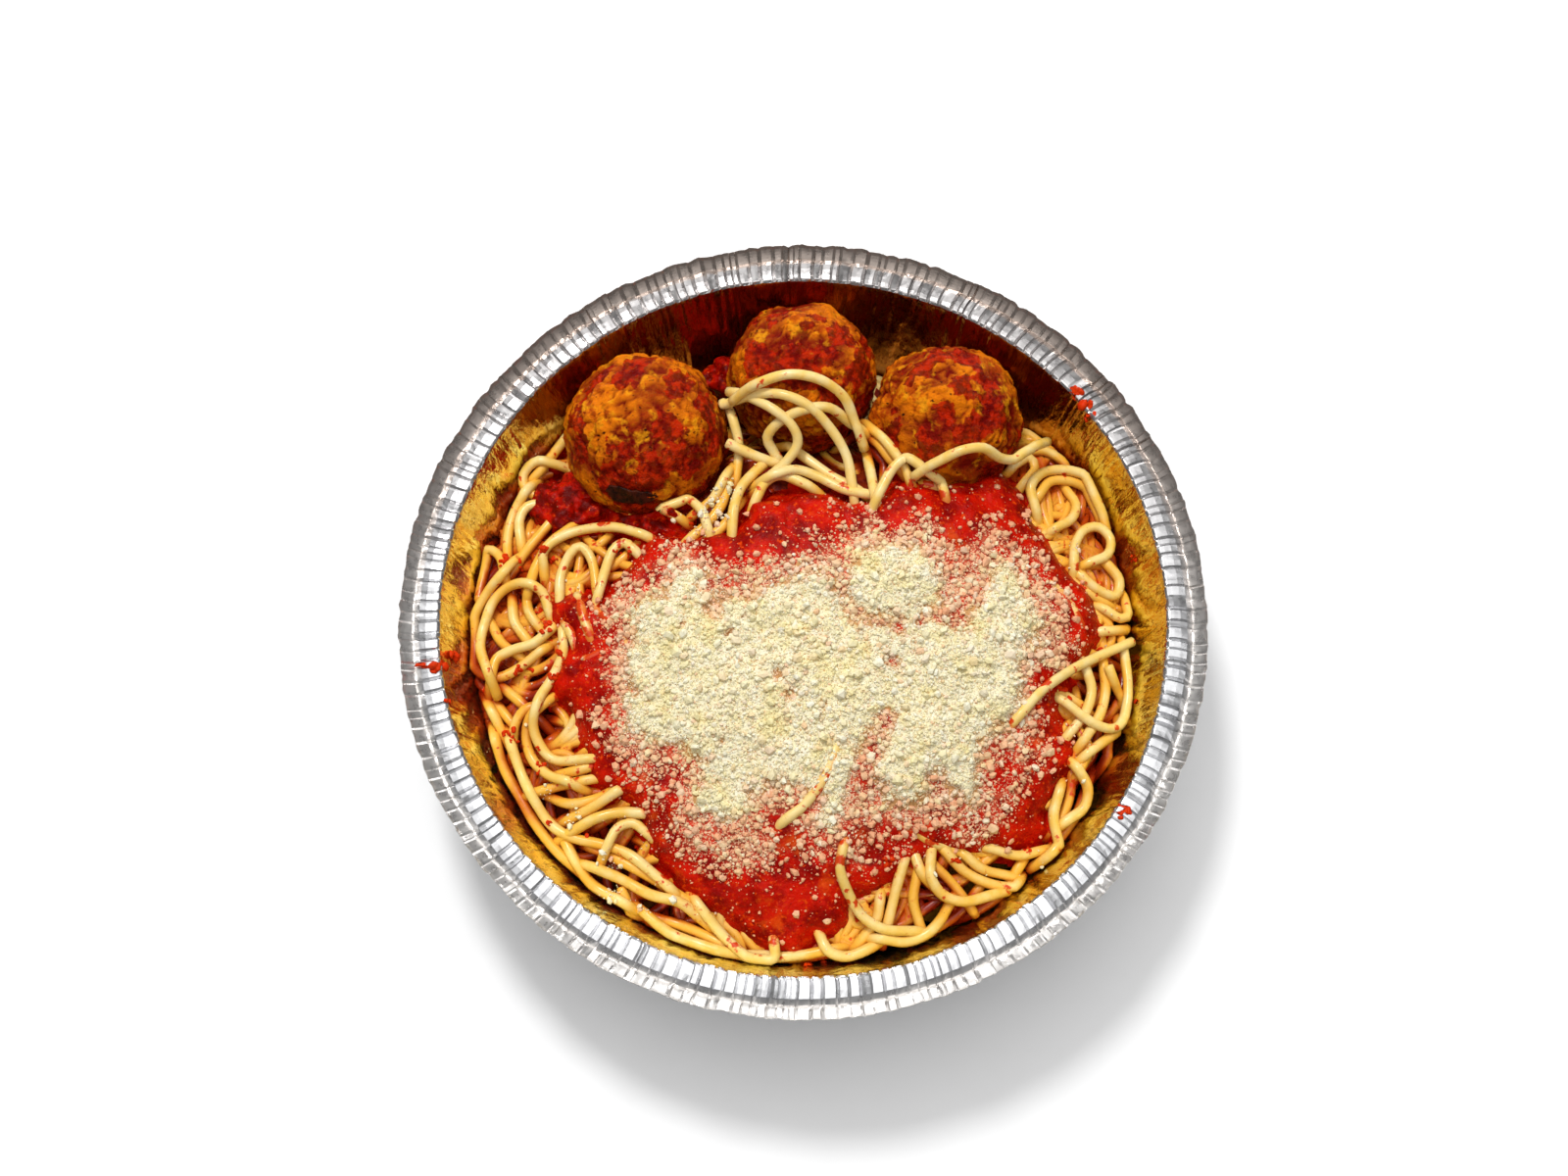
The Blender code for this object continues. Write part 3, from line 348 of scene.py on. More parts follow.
# Noodles that the photo shows: how high each rides, and its pixels
SHOWN_NOODLES = {
    "left_curl": (0, [(567, 474), (550, 470), (536, 480), (534, 493), (541, 504), (556, 507)]),
    "left_curl_under": (-1, [(578, 446), (566, 462), (550, 482), (540, 492)]),
    "left_edge_a": (0, [(535, 503), (524, 525), (518, 550), (518, 572)]),
    "left_edge_b": (0, [(556, 514), (538, 517), (530, 532), (532, 555)]),
    "left_slant_a": (1, [(568, 526), (550, 547), (533, 568), (520, 590)]),
    "left_slant_b": (1, [(580, 540), (560, 556), (547, 578), (540, 598)]),
    "left_span": (3, [(655, 545), (628, 538), (598, 540), (572, 548), (555, 562), (555, 582)]),
    "left_small_loop": (1, [(491, 616), (483, 595), (484, 573), (498, 561), (510, 568), (515, 586)]),
    "left_outer_loop": (2, [(519, 578), (499, 602), (484, 630), (478, 660), (487, 684), (505, 692),
                            (526, 684), (552, 664)]),
    "left_big_loop": (4, [(560, 622), (553, 604), (537, 595), (519, 599), (504, 613), (495, 635),
                          (490, 660), (497, 684)]),
    "left_cross": (3, [(562, 642), (545, 656), (524, 663), (507, 672), (502, 686)]),
    "left_inside_a": (0, [(537, 604), (540, 625), (552, 642)]),
    "left_inside_b": (0, [(523, 612), (525, 634), (537, 652)]),
    "left_inside_c": (0, [(503, 640), (512, 656), (528, 668)]),
    "left_arch_a": (3, [(571, 612), (572, 588), (582, 565), (593, 558), (604, 572), (609, 602)]),
    "left_arch_b": (3, [(610, 608), (617, 584), (625, 562), (637, 554), (648, 562)]),
    "lower_sweep_a": (4, [(574, 646), (574, 668), (562, 694), (549, 715), (544, 740), (552, 762),
                          (568, 776), (602, 774)]),
    "lower_sweep_b": (3, [(556, 717), (541, 732), (537, 754), (544, 776), (560, 791), (578, 797)]),
    "lower_hook": (2, [(556, 718), (536, 724), (526, 739), (524, 754)]),
    "lower_slant_a": (0, [(492, 700), (508, 720), (526, 742)]),
    "lower_slant_b": (0, [(508, 698), (528, 714), (548, 732)]),
    "lower_slant_c": (0, [(500, 722), (512, 746), (524, 768)]),
    "long_outer": (1, [(506, 757), (515, 785), (530, 812), (546, 840), (566, 866), (592, 890)]),
    "long_inner": (3, [(522, 762), (533, 792), (546, 818), (563, 842), (585, 855), (615, 862),
                       (642, 872), (665, 890), (682, 905)]),
    "long_under": (1, [(610, 868), (640, 882), (668, 898), (700, 918)]),
    "bar_a": (2, [(604, 795), (580, 800), (552, 807)]),
    "bar_b": (2, [(577, 789), (600, 783)]),
    "bar_c": (1, [(558, 812), (580, 820), (605, 816), (628, 806)]),
    "bar_d": (2, [(590, 832), (608, 822), (628, 808)]),
    "bar_e": (3, [(588, 846), (608, 835), (632, 829), (656, 830)]),
    "bar_hook": (3, [(621, 860), (630, 845), (646, 840), (660, 850)]),
    "low_edge_a": (1, [(577, 860), (590, 884), (606, 904), (634, 920)]),
    "low_edge_b": (3, [(608, 886), (636, 898), (664, 913), (694, 921), (716, 938)]),
    "low_stub": (0, [(634, 906), (643, 930)]),
    "low_edge_c": (2, [(658, 932), (680, 950), (710, 966), (745, 974), (780, 975)]),
    "low_edge_d": (1, [(668, 936), (700, 946), (735, 962)]),
    "bottom_hook": (5, [(712, 922), (732, 948), (752, 968), (774, 984), (790, 978), (790, 964)]),
    "fall_a": (5, [(860, 866), (857, 886), (866, 912), (880, 935), (902, 948), (928, 950)]),
    "fall_b": (4, [(923, 878), (915, 905), (907, 938)]),
    "fall_c": (2, [(936, 892), (932, 918), (938, 942)]),
    "fall_d": (3, [(968, 924), (958, 941), (944, 954), (924, 961), (902, 958)]),
    "fall_e": (4, [(950, 872), (950, 895), (962, 913), (984, 920), (1013, 913)]),
    "fall_f": (2, [(932, 868), (941, 891), (958, 910)]),
    "fall_g": (3, [(964, 868), (984, 889), (1010, 902), (1036, 906)]),
    "fall_h": (2, [(985, 873), (1003, 887), (1026, 893)]),
    "fall_i": (3, [(1012, 866), (1038, 873), (1062, 868)]),
    "fall_j": (1, [(898, 918), (894, 940), (880, 958)]),
    "fall_k": (1, [(1000, 905), (978, 932), (950, 950)]),
    "fall_l": (1, [(1040, 884), (1022, 912), (996, 930)]),
    "fall_m": (2, [(950, 880), (972, 902), (990, 926)]),
    "right_low_a": (1, [(1110, 800), (1098, 832), (1080, 862)]),
    "right_low_b": (1, [(1094, 776), (1092, 810), (1082, 840)]),
    "bottom_curl": (1, [(837, 955), (845, 970), (864, 976), (888, 967), (905, 955)]),
    "bottom_low": (0, [(792, 977), (822, 974), (850, 968)]),
    "right_hook": (5, [(1147, 664), (1151, 700), (1149, 727), (1138, 743), (1116, 738), (1086, 716)]),
    "right_bar": (6, [(1155, 655), (1125, 668), (1094, 683), (1064, 704), (1040, 730)]),
    "right_fall_a": (3, [(1108, 682), (1114, 704), (1107, 728), (1090, 750)]),
    "right_fall_b": (3, [(1126, 678), (1128, 704), (1122, 730), (1108, 752)]),
    "right_stub_a": (3, [(1131, 680), (1140, 704)]),
    "right_curl_a": (2, [(1103, 748), (1111, 765), (1103, 783)]),
    "right_curl_b": (2, [(1143, 745), (1127, 756), (1111, 768)]),
    "right_stub_b": (1, [(1131, 752), (1130, 770), (1137, 776)]),
    "right_curl_c": (2, [(1101, 786), (1110, 804), (1106, 824), (1088, 838)]),
    "right_drop": (4, [(1081, 808), (1075, 832), (1080, 858), (1088, 882)]),
    "right_loop_out": (4, [(1056, 516), (1052, 496), (1065, 482), (1090, 480), (1117, 490), (1132, 511),
                           (1128, 534)]),
    "right_loop_in": (3, [(1060, 505), (1072, 491), (1096, 492), (1117, 505), (1124, 524)]),
    "right_loop_low": (2, [(1088, 500), (1098, 515), (1093, 530), (1078, 538)]),
    "right_ring": (4, [(1096, 575), (1097, 556), (1106, 541), (1121, 538), (1133, 550), (1130, 566),
                       (1112, 574)]),
    "right_curl_d": (3, [(1104, 588), (1120, 602), (1138, 608), (1142, 592), (1130, 576)]),
    "right_curl_e": (1, [(1128, 622), (1143, 631), (1154, 626), (1149, 614)]),
    "right_curl_f": (0, [(1126, 644), (1148, 643)]),
    "right_knot": (3, [(1036, 474), (1050, 467), (1056, 478), (1045, 493)]),
    "right_back": (1, [(1046, 462), (1066, 460), (1083, 470), (1088, 478)]),
    "top_lean": (4, [(773, 479), (757, 496), (749, 518), (747, 540)]),
    "top_hook": (4, [(686, 524), (673, 517), (680, 506), (700, 508), (716, 521), (722, 538)]),
    "cheesy_a": (1, [(706, 548), (722, 534), (737, 514), (743, 494)]),
    "cheesy_b": (1, [(714, 520), (728, 508), (739, 488)]),
    "cheesy_c": (1, [(722, 550), (738, 537), (750, 520)]),
    "top_bow_a": (5, [(772, 508), (781, 492), (798, 485), (822, 494)]),
    "top_bow_b": (6, [(790, 484), (812, 479), (836, 487), (860, 499), (884, 504)]),
    "top_bow_c": (4, [(812, 460), (830, 473), (852, 488), (872, 498)]),
    "top_post_b": (6, [(885, 466), (889, 485), (893, 506)]),
    "top_post_c": (3, [(903, 458), (902, 482)]),
    "top_bow_d": (6, [(897, 503), (911, 478), (928, 465), (944, 466), (957, 481), (963, 501)]),
    "top_bow_e": (7, [(860, 437), (880, 432), (901, 440), (917, 459), (925, 482)]),
    "top_stub_b": (5, [(918, 449), (934, 463)]),
    "top_bar": (4, [(954, 470), (974, 478), (998, 483)]),
}

# Noodles in the air by the meatballs: pixels with the height of the noodle there
ARCH_NOODLES = {
    "top_stub_a": [(742, 452, 39), (768, 464, 38), (796, 475, 36)],
    "top_post": [(748, 428, 38), (754, 455, 36), (751, 490, 35)],
    "top_loop": [(790, 462, 37), (783, 446, 40), (796, 430, 43.5), (820, 418, 46.5),
                 (846, 416, 46), (868, 432, 41)],
    "top_third": [(764, 405, 44), (788, 417, 46), (808, 434, 44.5), (814, 452, 42),
                  (803, 470, 40), (783, 488, 38)],
    "top_second": [(742, 412, 40), (768, 403, 45), (796, 402, 48), (825, 414, 47.5),
                   (848, 438, 44), (864, 466, 41), (870, 498, 39)],
    "top_arch": [(747, 410, 42), (760, 399, 46), (774, 391, 49), (804, 382, 51.0),
                 (836, 387, 50.4), (861, 405, 47), (872, 430, 43)],
    "white_wave": [(957, 471, 45.4), (980, 460, 47.6), (1003, 457, 47), (1020, 467, 43),
                   (1034, 469, 40.5), (1043, 463, 40), (1052, 458, 38.5)],
}
# Noodles that show through the sauce and cheese: how deep each is sunk, and its pixels
SUNK_NOODLES = {
    "cheese_bar": (-0.4, [(806, 834), (820, 823), (834, 806), (845, 786), (852, 766)]),
    "cheese_hump": (1.1, [(905, 834), (925, 843), (950, 856), (975, 864)]),
    "left_peek_a": (0.3, [(594, 624), (597, 634), (601, 645)]),
    "left_peek_b": (0.5, [(578, 636), (583, 646), (586, 654)]),
    "left_hump_a": (1.2, [(618, 628), (632, 640), (640, 656)]),
    "left_hump_b": (1.3, [(602, 668), (616, 662), (634, 660), (646, 664)]),
    "right_hump_a": (1.1, [(1066, 588), (1080, 600), (1092, 614), (1100, 630)]),
    "right_hump_b": (0.9, [(1098, 588), (1112, 598), (1126, 606)]),
}
# Noodles that lie on the sauce, and noodles that start with a cut end
OVER_SAUCE = ("right_bar", "right_hook", "fall_a", "bottom_hook", "top_bow_b", "top_bow_d",
              "top_post_b")
CUT_ENDS = ("top_arch", "top_stub_a", "right_bar", "low_stub", "right_stub_a")


def smooth(low, high, value):
    """Ease from 0 at low to 1 at high."""
    share = np.clip((value - low) / (high - low), 0.0, 1.0)
    return share * share * (3.0 - 2.0 * share)


def wall_radius(height):
    """Radius of the pan's inside at a height, with the rounded corner by the floor."""
    corner = np.clip(1.0 - height / CORNER_HEIGHT, 0.0, 1.0)
    return RIM_RADIUS - WALL_LEAN * (RIM_HEIGHT - height) - CORNER_RUN * corner ** 2


def heap_top(x, y):
    """Height of the heap."""
    radius = np.hypot(x, y)
    dome = CORE_PEAK - CORE_FALL * np.minimum(radius / CORE_REACH, 1.1) ** CORE_POWER
    back = smooth(BACK_START, BACK_END, y) * (1.0 - smooth(*BACK_SIDES, np.abs(x)))
    return dome + (BACK_LEVEL - dome) * back


def heap_border(bearing):
    """How far the heap reaches towards a bearing."""
    away = (bearing - RECESS_BEARING + 180.0) % 360.0 - 180.0
    return CORE_BORDER - RECESS_DEPTH * np.exp(-(away / RECESS_SPREAD) ** 2)


LATTICE = np.random.default_rng(SEEDS["grain"]).uniform(-1.0, 1.0, (LATTICE_SIZE,) * 3)


def grain(points, size):
    """Smooth noise between -1 and 1 at each point, with features of a size."""
    scaled = points / size
    cell = np.floor(scaled).astype(int)
    part = scaled - cell
    part = part * part * (3.0 - 2.0 * part)
    total = np.zeros(len(points))
    for corner in np.ndindex(2, 2, 2):
        index = (cell + corner) % LATTICE_SIZE
        weight = np.prod(np.where(corner, part, 1.0 - part), axis=1)
        total += weight * LATTICE[index[:, 0], index[:, 1], index[:, 2]]
    return total


def camera_axes():
    """The camera's place and its forward, right and up directions."""
    tilt = math.radians(CAMERA_ELEVATION)
    eye = CAMERA_PIVOT + CAMERA_DISTANCE * np.array([0.0, -math.cos(tilt), math.sin(tilt)])
    forward = CAMERA_AIM - eye
    forward /= np.linalg.norm(forward)
    right = np.cross(forward, [0.0, 0.0, 1.0])
    right /= np.linalg.norm(right)
    return eye, forward, right, np.cross(right, forward)


EYE, FORWARD, RIGHT, UP = camera_axes()


def from_photo(pixels, heights):
    """The points at given heights that the photo shows at given pixels."""
    across = (pixels[:, 0] - PHOTO_SIZE[0] / 2) / FOCAL_PIXELS
    down = (pixels[:, 1] - PHOTO_SIZE[1] / 2) / FOCAL_PIXELS
    rays = FORWARD + np.outer(across, RIGHT) - np.outer(down, UP)
    return EYE + rays * ((heights - EYE[2]) / rays[:, 2])[:, None]


def spline(points, step):
    """Points about a step apart on a smooth curve through the given points."""
    points = np.asarray(points, float)
    ends = np.vstack([2 * points[0] - points[1], points, 2 * points[-1] - points[-2]])
    path = []
    for a, b, c, d in zip(ends, ends[1:], ends[2:], ends[3:]):
        count = max(1, round(np.linalg.norm((c - b)[:2]) / step))
        t = (np.arange(count) / count)[:, None]
        path.append(0.5 * (2 * b + (c - a) * t + (2 * a - 5 * b + 4 * c - d) * t ** 2
                           + (3 * b - a - 3 * c + d) * t ** 3))
    path.append(points[-1:])
    return np.vstack(path)


# Height grid over the pan
AXIS = np.arange(-GRID_HALF, GRID_HALF + 1) * GRID_STEP
GRID_X, GRID_Y = np.meshgrid(AXIS, AXIS, indexing="ij")
GRID_PLAN = np.stack([GRID_X.ravel(), GRID_Y.ravel(), np.zeros(GRID_X.size)], axis=1)
GRID_BEARING = np.degrees(np.arctan2(GRID_Y, GRID_X))
HEAP = heap_top(GRID_X, GRID_Y)


def grid_grain(size, level=0.0):
    """Noise over the grid."""
    return grain(GRID_PLAN + [0.0, 0.0, level], size).reshape(GRID_X.shape)


def on_heap(pixels, rise):
    """The points at a height above the heap that the photo shows at given pixels."""
    pixels = np.asarray(pixels, float)
    heights = np.full(len(pixels), CORE_PEAK)
    for _ in range(FIT_ROUNDS):
        points = from_photo(pixels, heights)
        heights = heap_top(points[:, 0], points[:, 1]) + rise
    return points


def outline_distance(pixels, rise):
    """Distance over the grid from a closed outline in the photo, negative inside it."""
    corners = on_heap(pixels, rise)[:, :2]
    nearest = np.full(GRID_X.shape, 1e9)
    inside = np.zeros(GRID_X.shape, bool)
    for (ax, ay), (bx, by) in zip(corners, np.roll(corners, -1, axis=0)):
        dx, dy = bx - ax, by - ay
        along = ((GRID_X - ax) * dx + (GRID_Y - ay) * dy) / (dx * dx + dy * dy)
        along = np.clip(along, 0.0, 1.0)
        away = np.hypot(GRID_X - ax - along * dx, GRID_Y - ay - along * dy)
        nearest = np.minimum(nearest, away)
        crosses = (ay > GRID_Y) != (by > GRID_Y)
        level = dy if abs(dy) > 1e-9 else 1e-9
        inside ^= crosses & (GRID_X < ax + (GRID_Y - ay) * dx / level)
    return np.where(inside, -nearest, nearest)


SAUCE_REACH = (outline_distance(SAUCE_OUTLINE, 3.0) + 0.9 * grid_grain(5.0, 3.0)
               + 0.5 * grid_grain(2.0, 5.0))
POCKET_REACH = outline_distance(POCKET_OUTLINE, 1.0) + 0.7 * grid_grain(3.0, 6.0)
CHEESE_REACH = (outline_distance(CHEESE_OUTLINE, 6.0) + 1.5 * grid_grain(4.0, 11.0)
                + 1.0 * grid_grain(1.6, 13.0))


def cell_of(points):
    """Grid indices of points."""
    cell = np.rint(points[:, :2] / GRID_STEP).astype(int) + GRID_HALF
    return np.clip(cell, 0, 2 * GRID_HALF)


def sampled(field, points):
    """A grid's value at each point."""
    cell = cell_of(points)
    return field[cell[:, 0], cell[:, 1]]


def disc_cells(radius):
    """Grid offsets within a radius, with the height of a round noodle's crown over each."""
    span = int(radius / GRID_STEP)
    steps = np.arange(-span, span + 1)
    across, along = (side.ravel() for side in np.meshgrid(steps, steps, indexing="ij"))
    away = np.hypot(across, along) * GRID_STEP
    near = away <= radius
    crown = np.sqrt(radius ** 2 - away[near] ** 2)
    return across[near], along[near], crown


DISC_ACROSS, DISC_ALONG, DISC_CROWN = disc_cells(NOODLE_RADIUS)


class Pile:
    """The height of everything laid so far, on the grid seen from above."""

    def __init__(self, top):
        self.top = top.copy()

    def cells(self, points):
        """Grid indices of the disc under each point."""
        cell = cell_of(points)
        across = np.clip(cell[:, 0, None] + DISC_ACROSS, 0, 2 * GRID_HALF)
        along = np.clip(cell[:, 1, None] + DISC_ALONG, 0, 2 * GRID_HALF)
        return across, along

    def rest(self, points):
        """Height of a noodle's axis where it rests on the pile."""
        across, along = self.cells(points)
        return (self.top[across, along] + DISC_CROWN).max(axis=1) - NOODLE_SINK

    def add(self, points):
        """Raise the grid to the top of a noodle."""
        across, along = self.cells(points)
        np.maximum.at(self.top, (across, along), points[:, 2, None] + DISC_CROWN)


def keep_clear(points):
    """Move a noodle's points in from the wall and out of the meatballs."""
    points = points.copy()
    for centre, radius in MEATBALLS.values():
        away = points - centre
        distance = np.linalg.norm(away, axis=1)
        short = distance < radius + NOODLE_RADIUS
        away[short] *= ((radius + NOODLE_RADIUS) / distance[short])[:, None]
        points[short] = centre + away[short]
    limit = wall_radius(points[:, 2]) - NOODLE_RADIUS * 1.05 - 0.3
    reach = np.hypot(points[:, 0], points[:, 1])
    scale = np.minimum(1.0, limit / np.maximum(reach, 1.0))
    points[:, :2] *= scale[:, None]
    return points


def bridged(heights):
    """A noodle's heights where it is too stiff to follow every dip."""
    heights = heights.copy()
    for _ in range(30):
        middle = (heights[:-2] + heights[2:]) / 2 - NOODLE_SAG
        heights[1:-1] = np.maximum(heights[1:-1], middle)
    for _ in range(3):
        heights[1:-1] = (heights[:-2] + 2 * heights[1:-1] + heights[2:]) / 4
    return heights


def blurred_along(heights):
    """A line of heights, smoothed."""
    padded = np.pad(heights, 3, mode="edge")
    return np.mean([padded[k:k + len(heights)] for k in range(7)], axis=0)


def diving(end, inner):
    """Points that carry a noodle on past its end and down into the heap."""
    along = (end - inner) * [1.0, 1.0, 0.0]
    along /= max(np.linalg.norm(along), 0.01)
    tail = end + along * (np.arange(1, len(TAIL_DROPS) + 1)[:, None] * NOODLE_STEP)
    tail[:, 2] = np.maximum(end[2] - TAIL_DROPS, 3.0)
    return keep_clear(tail)


def tucked(path, at_start=True):
    """A path whose ends run on and dive into the heap."""
    pieces = [path, diving(path[-1], path[-3])]
    if at_start:
        pieces.insert(0, diving(path[0], path[2])[::-1])
    return np.vstack(pieces)


def laid_from_photo(pile, name, lift, pixels):
    """The path of a noodle that the photo shows, resting on the pile."""
    line = spline(pixels, NOODLE_STEP / PIXEL_SIZE)
    heights = np.full(len(line), 36.0)
    for _ in range(4):
        points = keep_clear(from_photo(line, heights))
        ground = heap_top(points[:, 0], points[:, 1]) + min(0.45 * lift, 2.0)
        heights = bridged(np.maximum(pile.rest(points), ground))
    path = tucked(keep_clear(from_photo(line, heights)), at_start=name not in CUT_ENDS)
    pile.add(path)
    return path


def arched(pile, name, spots):
    """The path of a noodle that stands in the air by the meatballs."""
    line = spline(spots, NOODLE_STEP / PIXEL_SIZE)
    path = tucked(from_photo(line[:, :2], line[:, 2]), at_start=name not in CUT_ENDS)
    pile.add(path)
    return path


def bed_plan(draw):
    """A wandering plan path in the ring of noodles round the sauce."""
    count = draw.integers(*BED_STEPS)
    bearing = draw.uniform(0.0, 360.0)
    radius = heap_border(bearing) + 2.0 - draw.uniform(0.0, BED_RING)
    x = radius * math.cos(math.radians(bearing))
    y = radius * math.sin(math.radians(bearing))
    heading = math.radians(bearing + 90.0 + draw.uniform(-BED_HEADING, BED_HEADING))
    turn = draw.uniform(*BED_TURN) * draw.choice((-1.0, 1.0))
    sway, phase, pace = draw.uniform(*BED_SWAY), draw.uniform(0.0, 6.3), draw.uniform(*BED_PACE)
    plan = []
    for k in range(count):
        heading += turn + sway * math.sin(pace * k + phase)
        x += NOODLE_STEP * math.cos(heading)
        y += NOODLE_STEP * math.sin(heading)
        reach = math.hypot(x, y)
        limit = heap_border(math.degrees(math.atan2(y, x))) + 3.0
        if reach > limit:
            x *= limit / reach
            y *= limit / reach
            heading += 0.10 * math.copysign(1.0, turn)
        plan.append((x, y))
    plan = np.array(plan)
    for _ in range(2):
        plan[1:-1] = (plan[:-2] + 2 * plan[1:-1] + plan[2:]) / 4
    return plan


def bed_ceiling():
    """How high the bed of noodles may rise: low behind the meatballs and under sauce."""
    ceiling = HEAP + BED_LIMIT
    for name, drop in CLUMP_DROPS.items():
        centre, half = CLUMPS[name]
        away = np.hypot((GRID_X - centre[0]) / half[0], (GRID_Y - centre[1]) / half[1])
        ceiling = ceiling - drop * smooth(1.3, 0.8, away)
    ceiling = ceiling - POCKET_DROP * smooth(1.0, -2.0, POCKET_REACH)
    behind = smooth(28.0, 38.0, GRID_Y) * smooth(54.0, 44.0, np.abs(GRID_X))
    middle = smooth(14.0, 22.0, GRID_Y) * smooth(38.0, 32.0, np.abs(GRID_X - 6.0))
    return np.maximum(ceiling - HIDDEN_DROP * np.maximum(behind, middle), BED_FLOOR)


def bed_paths(pile, draw):
    """Noodles that fill the ring, each resting on those before it."""
    made = 0
    highest = bed_ceiling()
    while made < BED_NOODLES:
        plan = bed_plan(draw)
        points = np.column_stack([plan, np.zeros(len(plan))])
        reach = sampled(SAUCE_REACH, points)
        if np.mean(reach < DEEP_UNDER) > DEEP_SHARE:
            continue
        made += 1
        ceiling = sampled(highest, points) + draw.uniform(-0.8, 0.4)
        points[:, 2] = ceiling
        points = keep_clear(points)
        heights = np.minimum(pile.rest(points), ceiling)
        points[:, 2] = np.minimum(bridged(heights), ceiling + 0.5)
        path = tucked(keep_clear(points))
        pile.add(path)
        yield path


def numpy_mesh(points, faces, facts=None, flat=False):
    """A mesh from points in millimetres, faces with one number of corners, and facts at points."""
    mesh = bpy.data.meshes.new("piece")
    mesh.vertices.add(len(points))
    mesh.vertices.foreach_set("co", np.asarray(points * MM, np.float32).ravel())
    mesh.loops.add(faces.size)
    mesh.loops.foreach_set("vertex_index", np.asarray(faces, np.int32).ravel())
    mesh.polygons.add(len(faces))
    starts = np.arange(0, faces.size, faces.shape[1], dtype=np.int32)
    mesh.polygons.foreach_set("loop_start", starts)
    mesh.update(calc_edges=True)
    for key, values in (facts or {}).items():
        layer = mesh.attributes.new(key, "FLOAT", "POINT")
        layer.data.foreach_set("value", np.asarray(values, np.float32))
    if flat:
        mesh.shade_flat()
    else:
        mesh.shade_smooth()
    return mesh


def dress(name, mesh, made, slot, *nodes):
    """Put a piece on the body, with its material, and hide the nodes that it replaces."""
    mesh.name = name
    piece = bpy.data.objects.new(name, mesh)
    bpy.context.scene.collection.objects.link(piece)
    mesh.materials.append(made)
    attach(piece, "root")
    if nodes:
        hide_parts(*nodes)
    return piece


def ring_quads(rows, columns):
    """Quads between rings of points, row after row, with as many columns in each."""
    row = np.arange(rows - 1)[:, None] * columns
    here = np.arange(columns)[None, :]
    after = (here + 1) % columns
    quads = np.stack([row + here, row + after, row + columns + after, row + columns + here], -1)
    return quads.reshape(-1, 4)


def tube(path, sides, radius, draw):
    """Points and quads of one round noodle with blunt ends."""
    tangent = np.gradient(path, axis=0)
    tangent /= np.linalg.norm(tangent, axis=1)[:, None]
    side = np.cross(tangent, [0.0, 0.0, 1.0])
    side /= np.maximum(np.linalg.norm(side, axis=1), 0.05)[:, None]
    upward = np.cross(side, tangent)
    width = radius * (1.0 + 0.03 * np.sin(np.arange(len(path)) * 0.7 + draw.uniform(0.0, 6.0)))
    centres = [path[0] - tangent[0] * (0.3 - inset * 2) for inset, _ in NOODLE_CAPS]
    centres += list(path)
    centres += [path[-1] + tangent[-1] * (0.3 - inset * 2) for inset, _ in NOODLE_CAPS[::-1]]
    shares = [width[0] * share for _, share in NOODLE_CAPS] + list(width)
    shares += [width[-1] * share for _, share in NOODLE_CAPS[::-1]]
    ends = len(NOODLE_CAPS)
    rows = [0] * ends + list(range(len(path))) + [len(path) - 1] * ends
    angle = np.arange(sides) / sides * 2 * math.pi
    ring = (np.cos(angle)[None, :, None] * side[rows][:, None, :]
            + np.sin(angle)[None, :, None] * upward[rows][:, None, :])
    points = np.array(centres)[:, None, :] + ring * np.array(shares)[:, None, None]
    return points.reshape(-1, 3), ring_quads(len(rows), sides)


def local_top(pile):
    """The height of the noodles round each grid point, for shading by depth."""
    top = pile.top.copy()
    for _ in range(5):
        for axis in (0, 1):
            top = np.maximum(top, np.maximum(np.roll(top, 1, axis), np.roll(top, -1, axis)))
    return blurred(top, 8)


def stained(points, poured):
    """How much sauce has stained the noodles at each point: less where they stand above it."""
    sauce = np.minimum(sampled(SAUCE_REACH, points), sampled(POCKET_REACH, points) + 1.0)
    stain = 0.42 - np.maximum(sauce, -6.0) / 10.0
    stain = stain - 0.7 * smooth(0.0, 2.5, points[:, 2] - sampled(poured, points)) * (sauce < 1.0)
    return np.clip(stain + 0.5 * grain(points, 7.0) + 0.3 * grain(points, 2.0), 0, 1)


def noodle_mesh(paths, sides, highest, poured, draw):
    """All of a set of noodles as one mesh, with facts for their colour at each point."""
    points, faces, tones = [], [], []
    total = 0
    for path in paths:
        here, quads = tube(path, sides, NOODLE_RADIUS * draw.uniform(*NOODLE_WIDTHS), draw)
        points.append(here)
        faces.append(quads + total)
        tones.append(np.full(len(here), draw.uniform(0.0, 1.0)))
        total += len(here)
    points = np.vstack(points)
    # depth: how far each point lies below the noodles round it, for painted shade
    depth = np.clip((sampled(highest, points) - points[:, 2] - 0.2) / 6.0, 0.0, 1.0)
    facts = {"tone": np.concatenate(tones), "depth": depth, "stain": stained(points, poured)}
    return numpy_mesh(points, np.vstack(faces), facts)


def grid_mesh(heights, mask, facts, stride=1):
    """A sheet over the grid's cells where the mask holds."""
    every = (slice(None, None, stride), slice(None, None, stride))
    mask = mask[every]
    keep = mask[:-1, :-1] & mask[1:, :-1] & mask[:-1, 1:] & mask[1:, 1:]
    number = np.arange(GRID_X.size).reshape(GRID_X.shape)[every]
    quads = np.stack([number[:-1, :-1], number[1:, :-1], number[1:, 1:], number[:-1, 1:]], axis=-1)
    quads = quads[keep]
    used, faces = np.unique(quads, return_inverse=True)
    points = np.stack([GRID_X.ravel(), GRID_Y.ravel(), heights.ravel()], axis=1)[used]
    facts = {key: values.ravel()[used] for key, values in facts.items()}
    return numpy_mesh(points, faces.reshape(-1, 4), facts)


def blurred(field, passes):
    """A grid's values, smoothed."""
    field = field.copy()
    for _ in range(passes):
        field[1:-1, :] = (field[:-2, :] + 2 * field[1:-1, :] + field[2:, :]) / 4
        field[:, 1:-1] = (field[:, :-2] + 2 * field[:, 1:-1] + field[:, 2:]) / 4
    return field


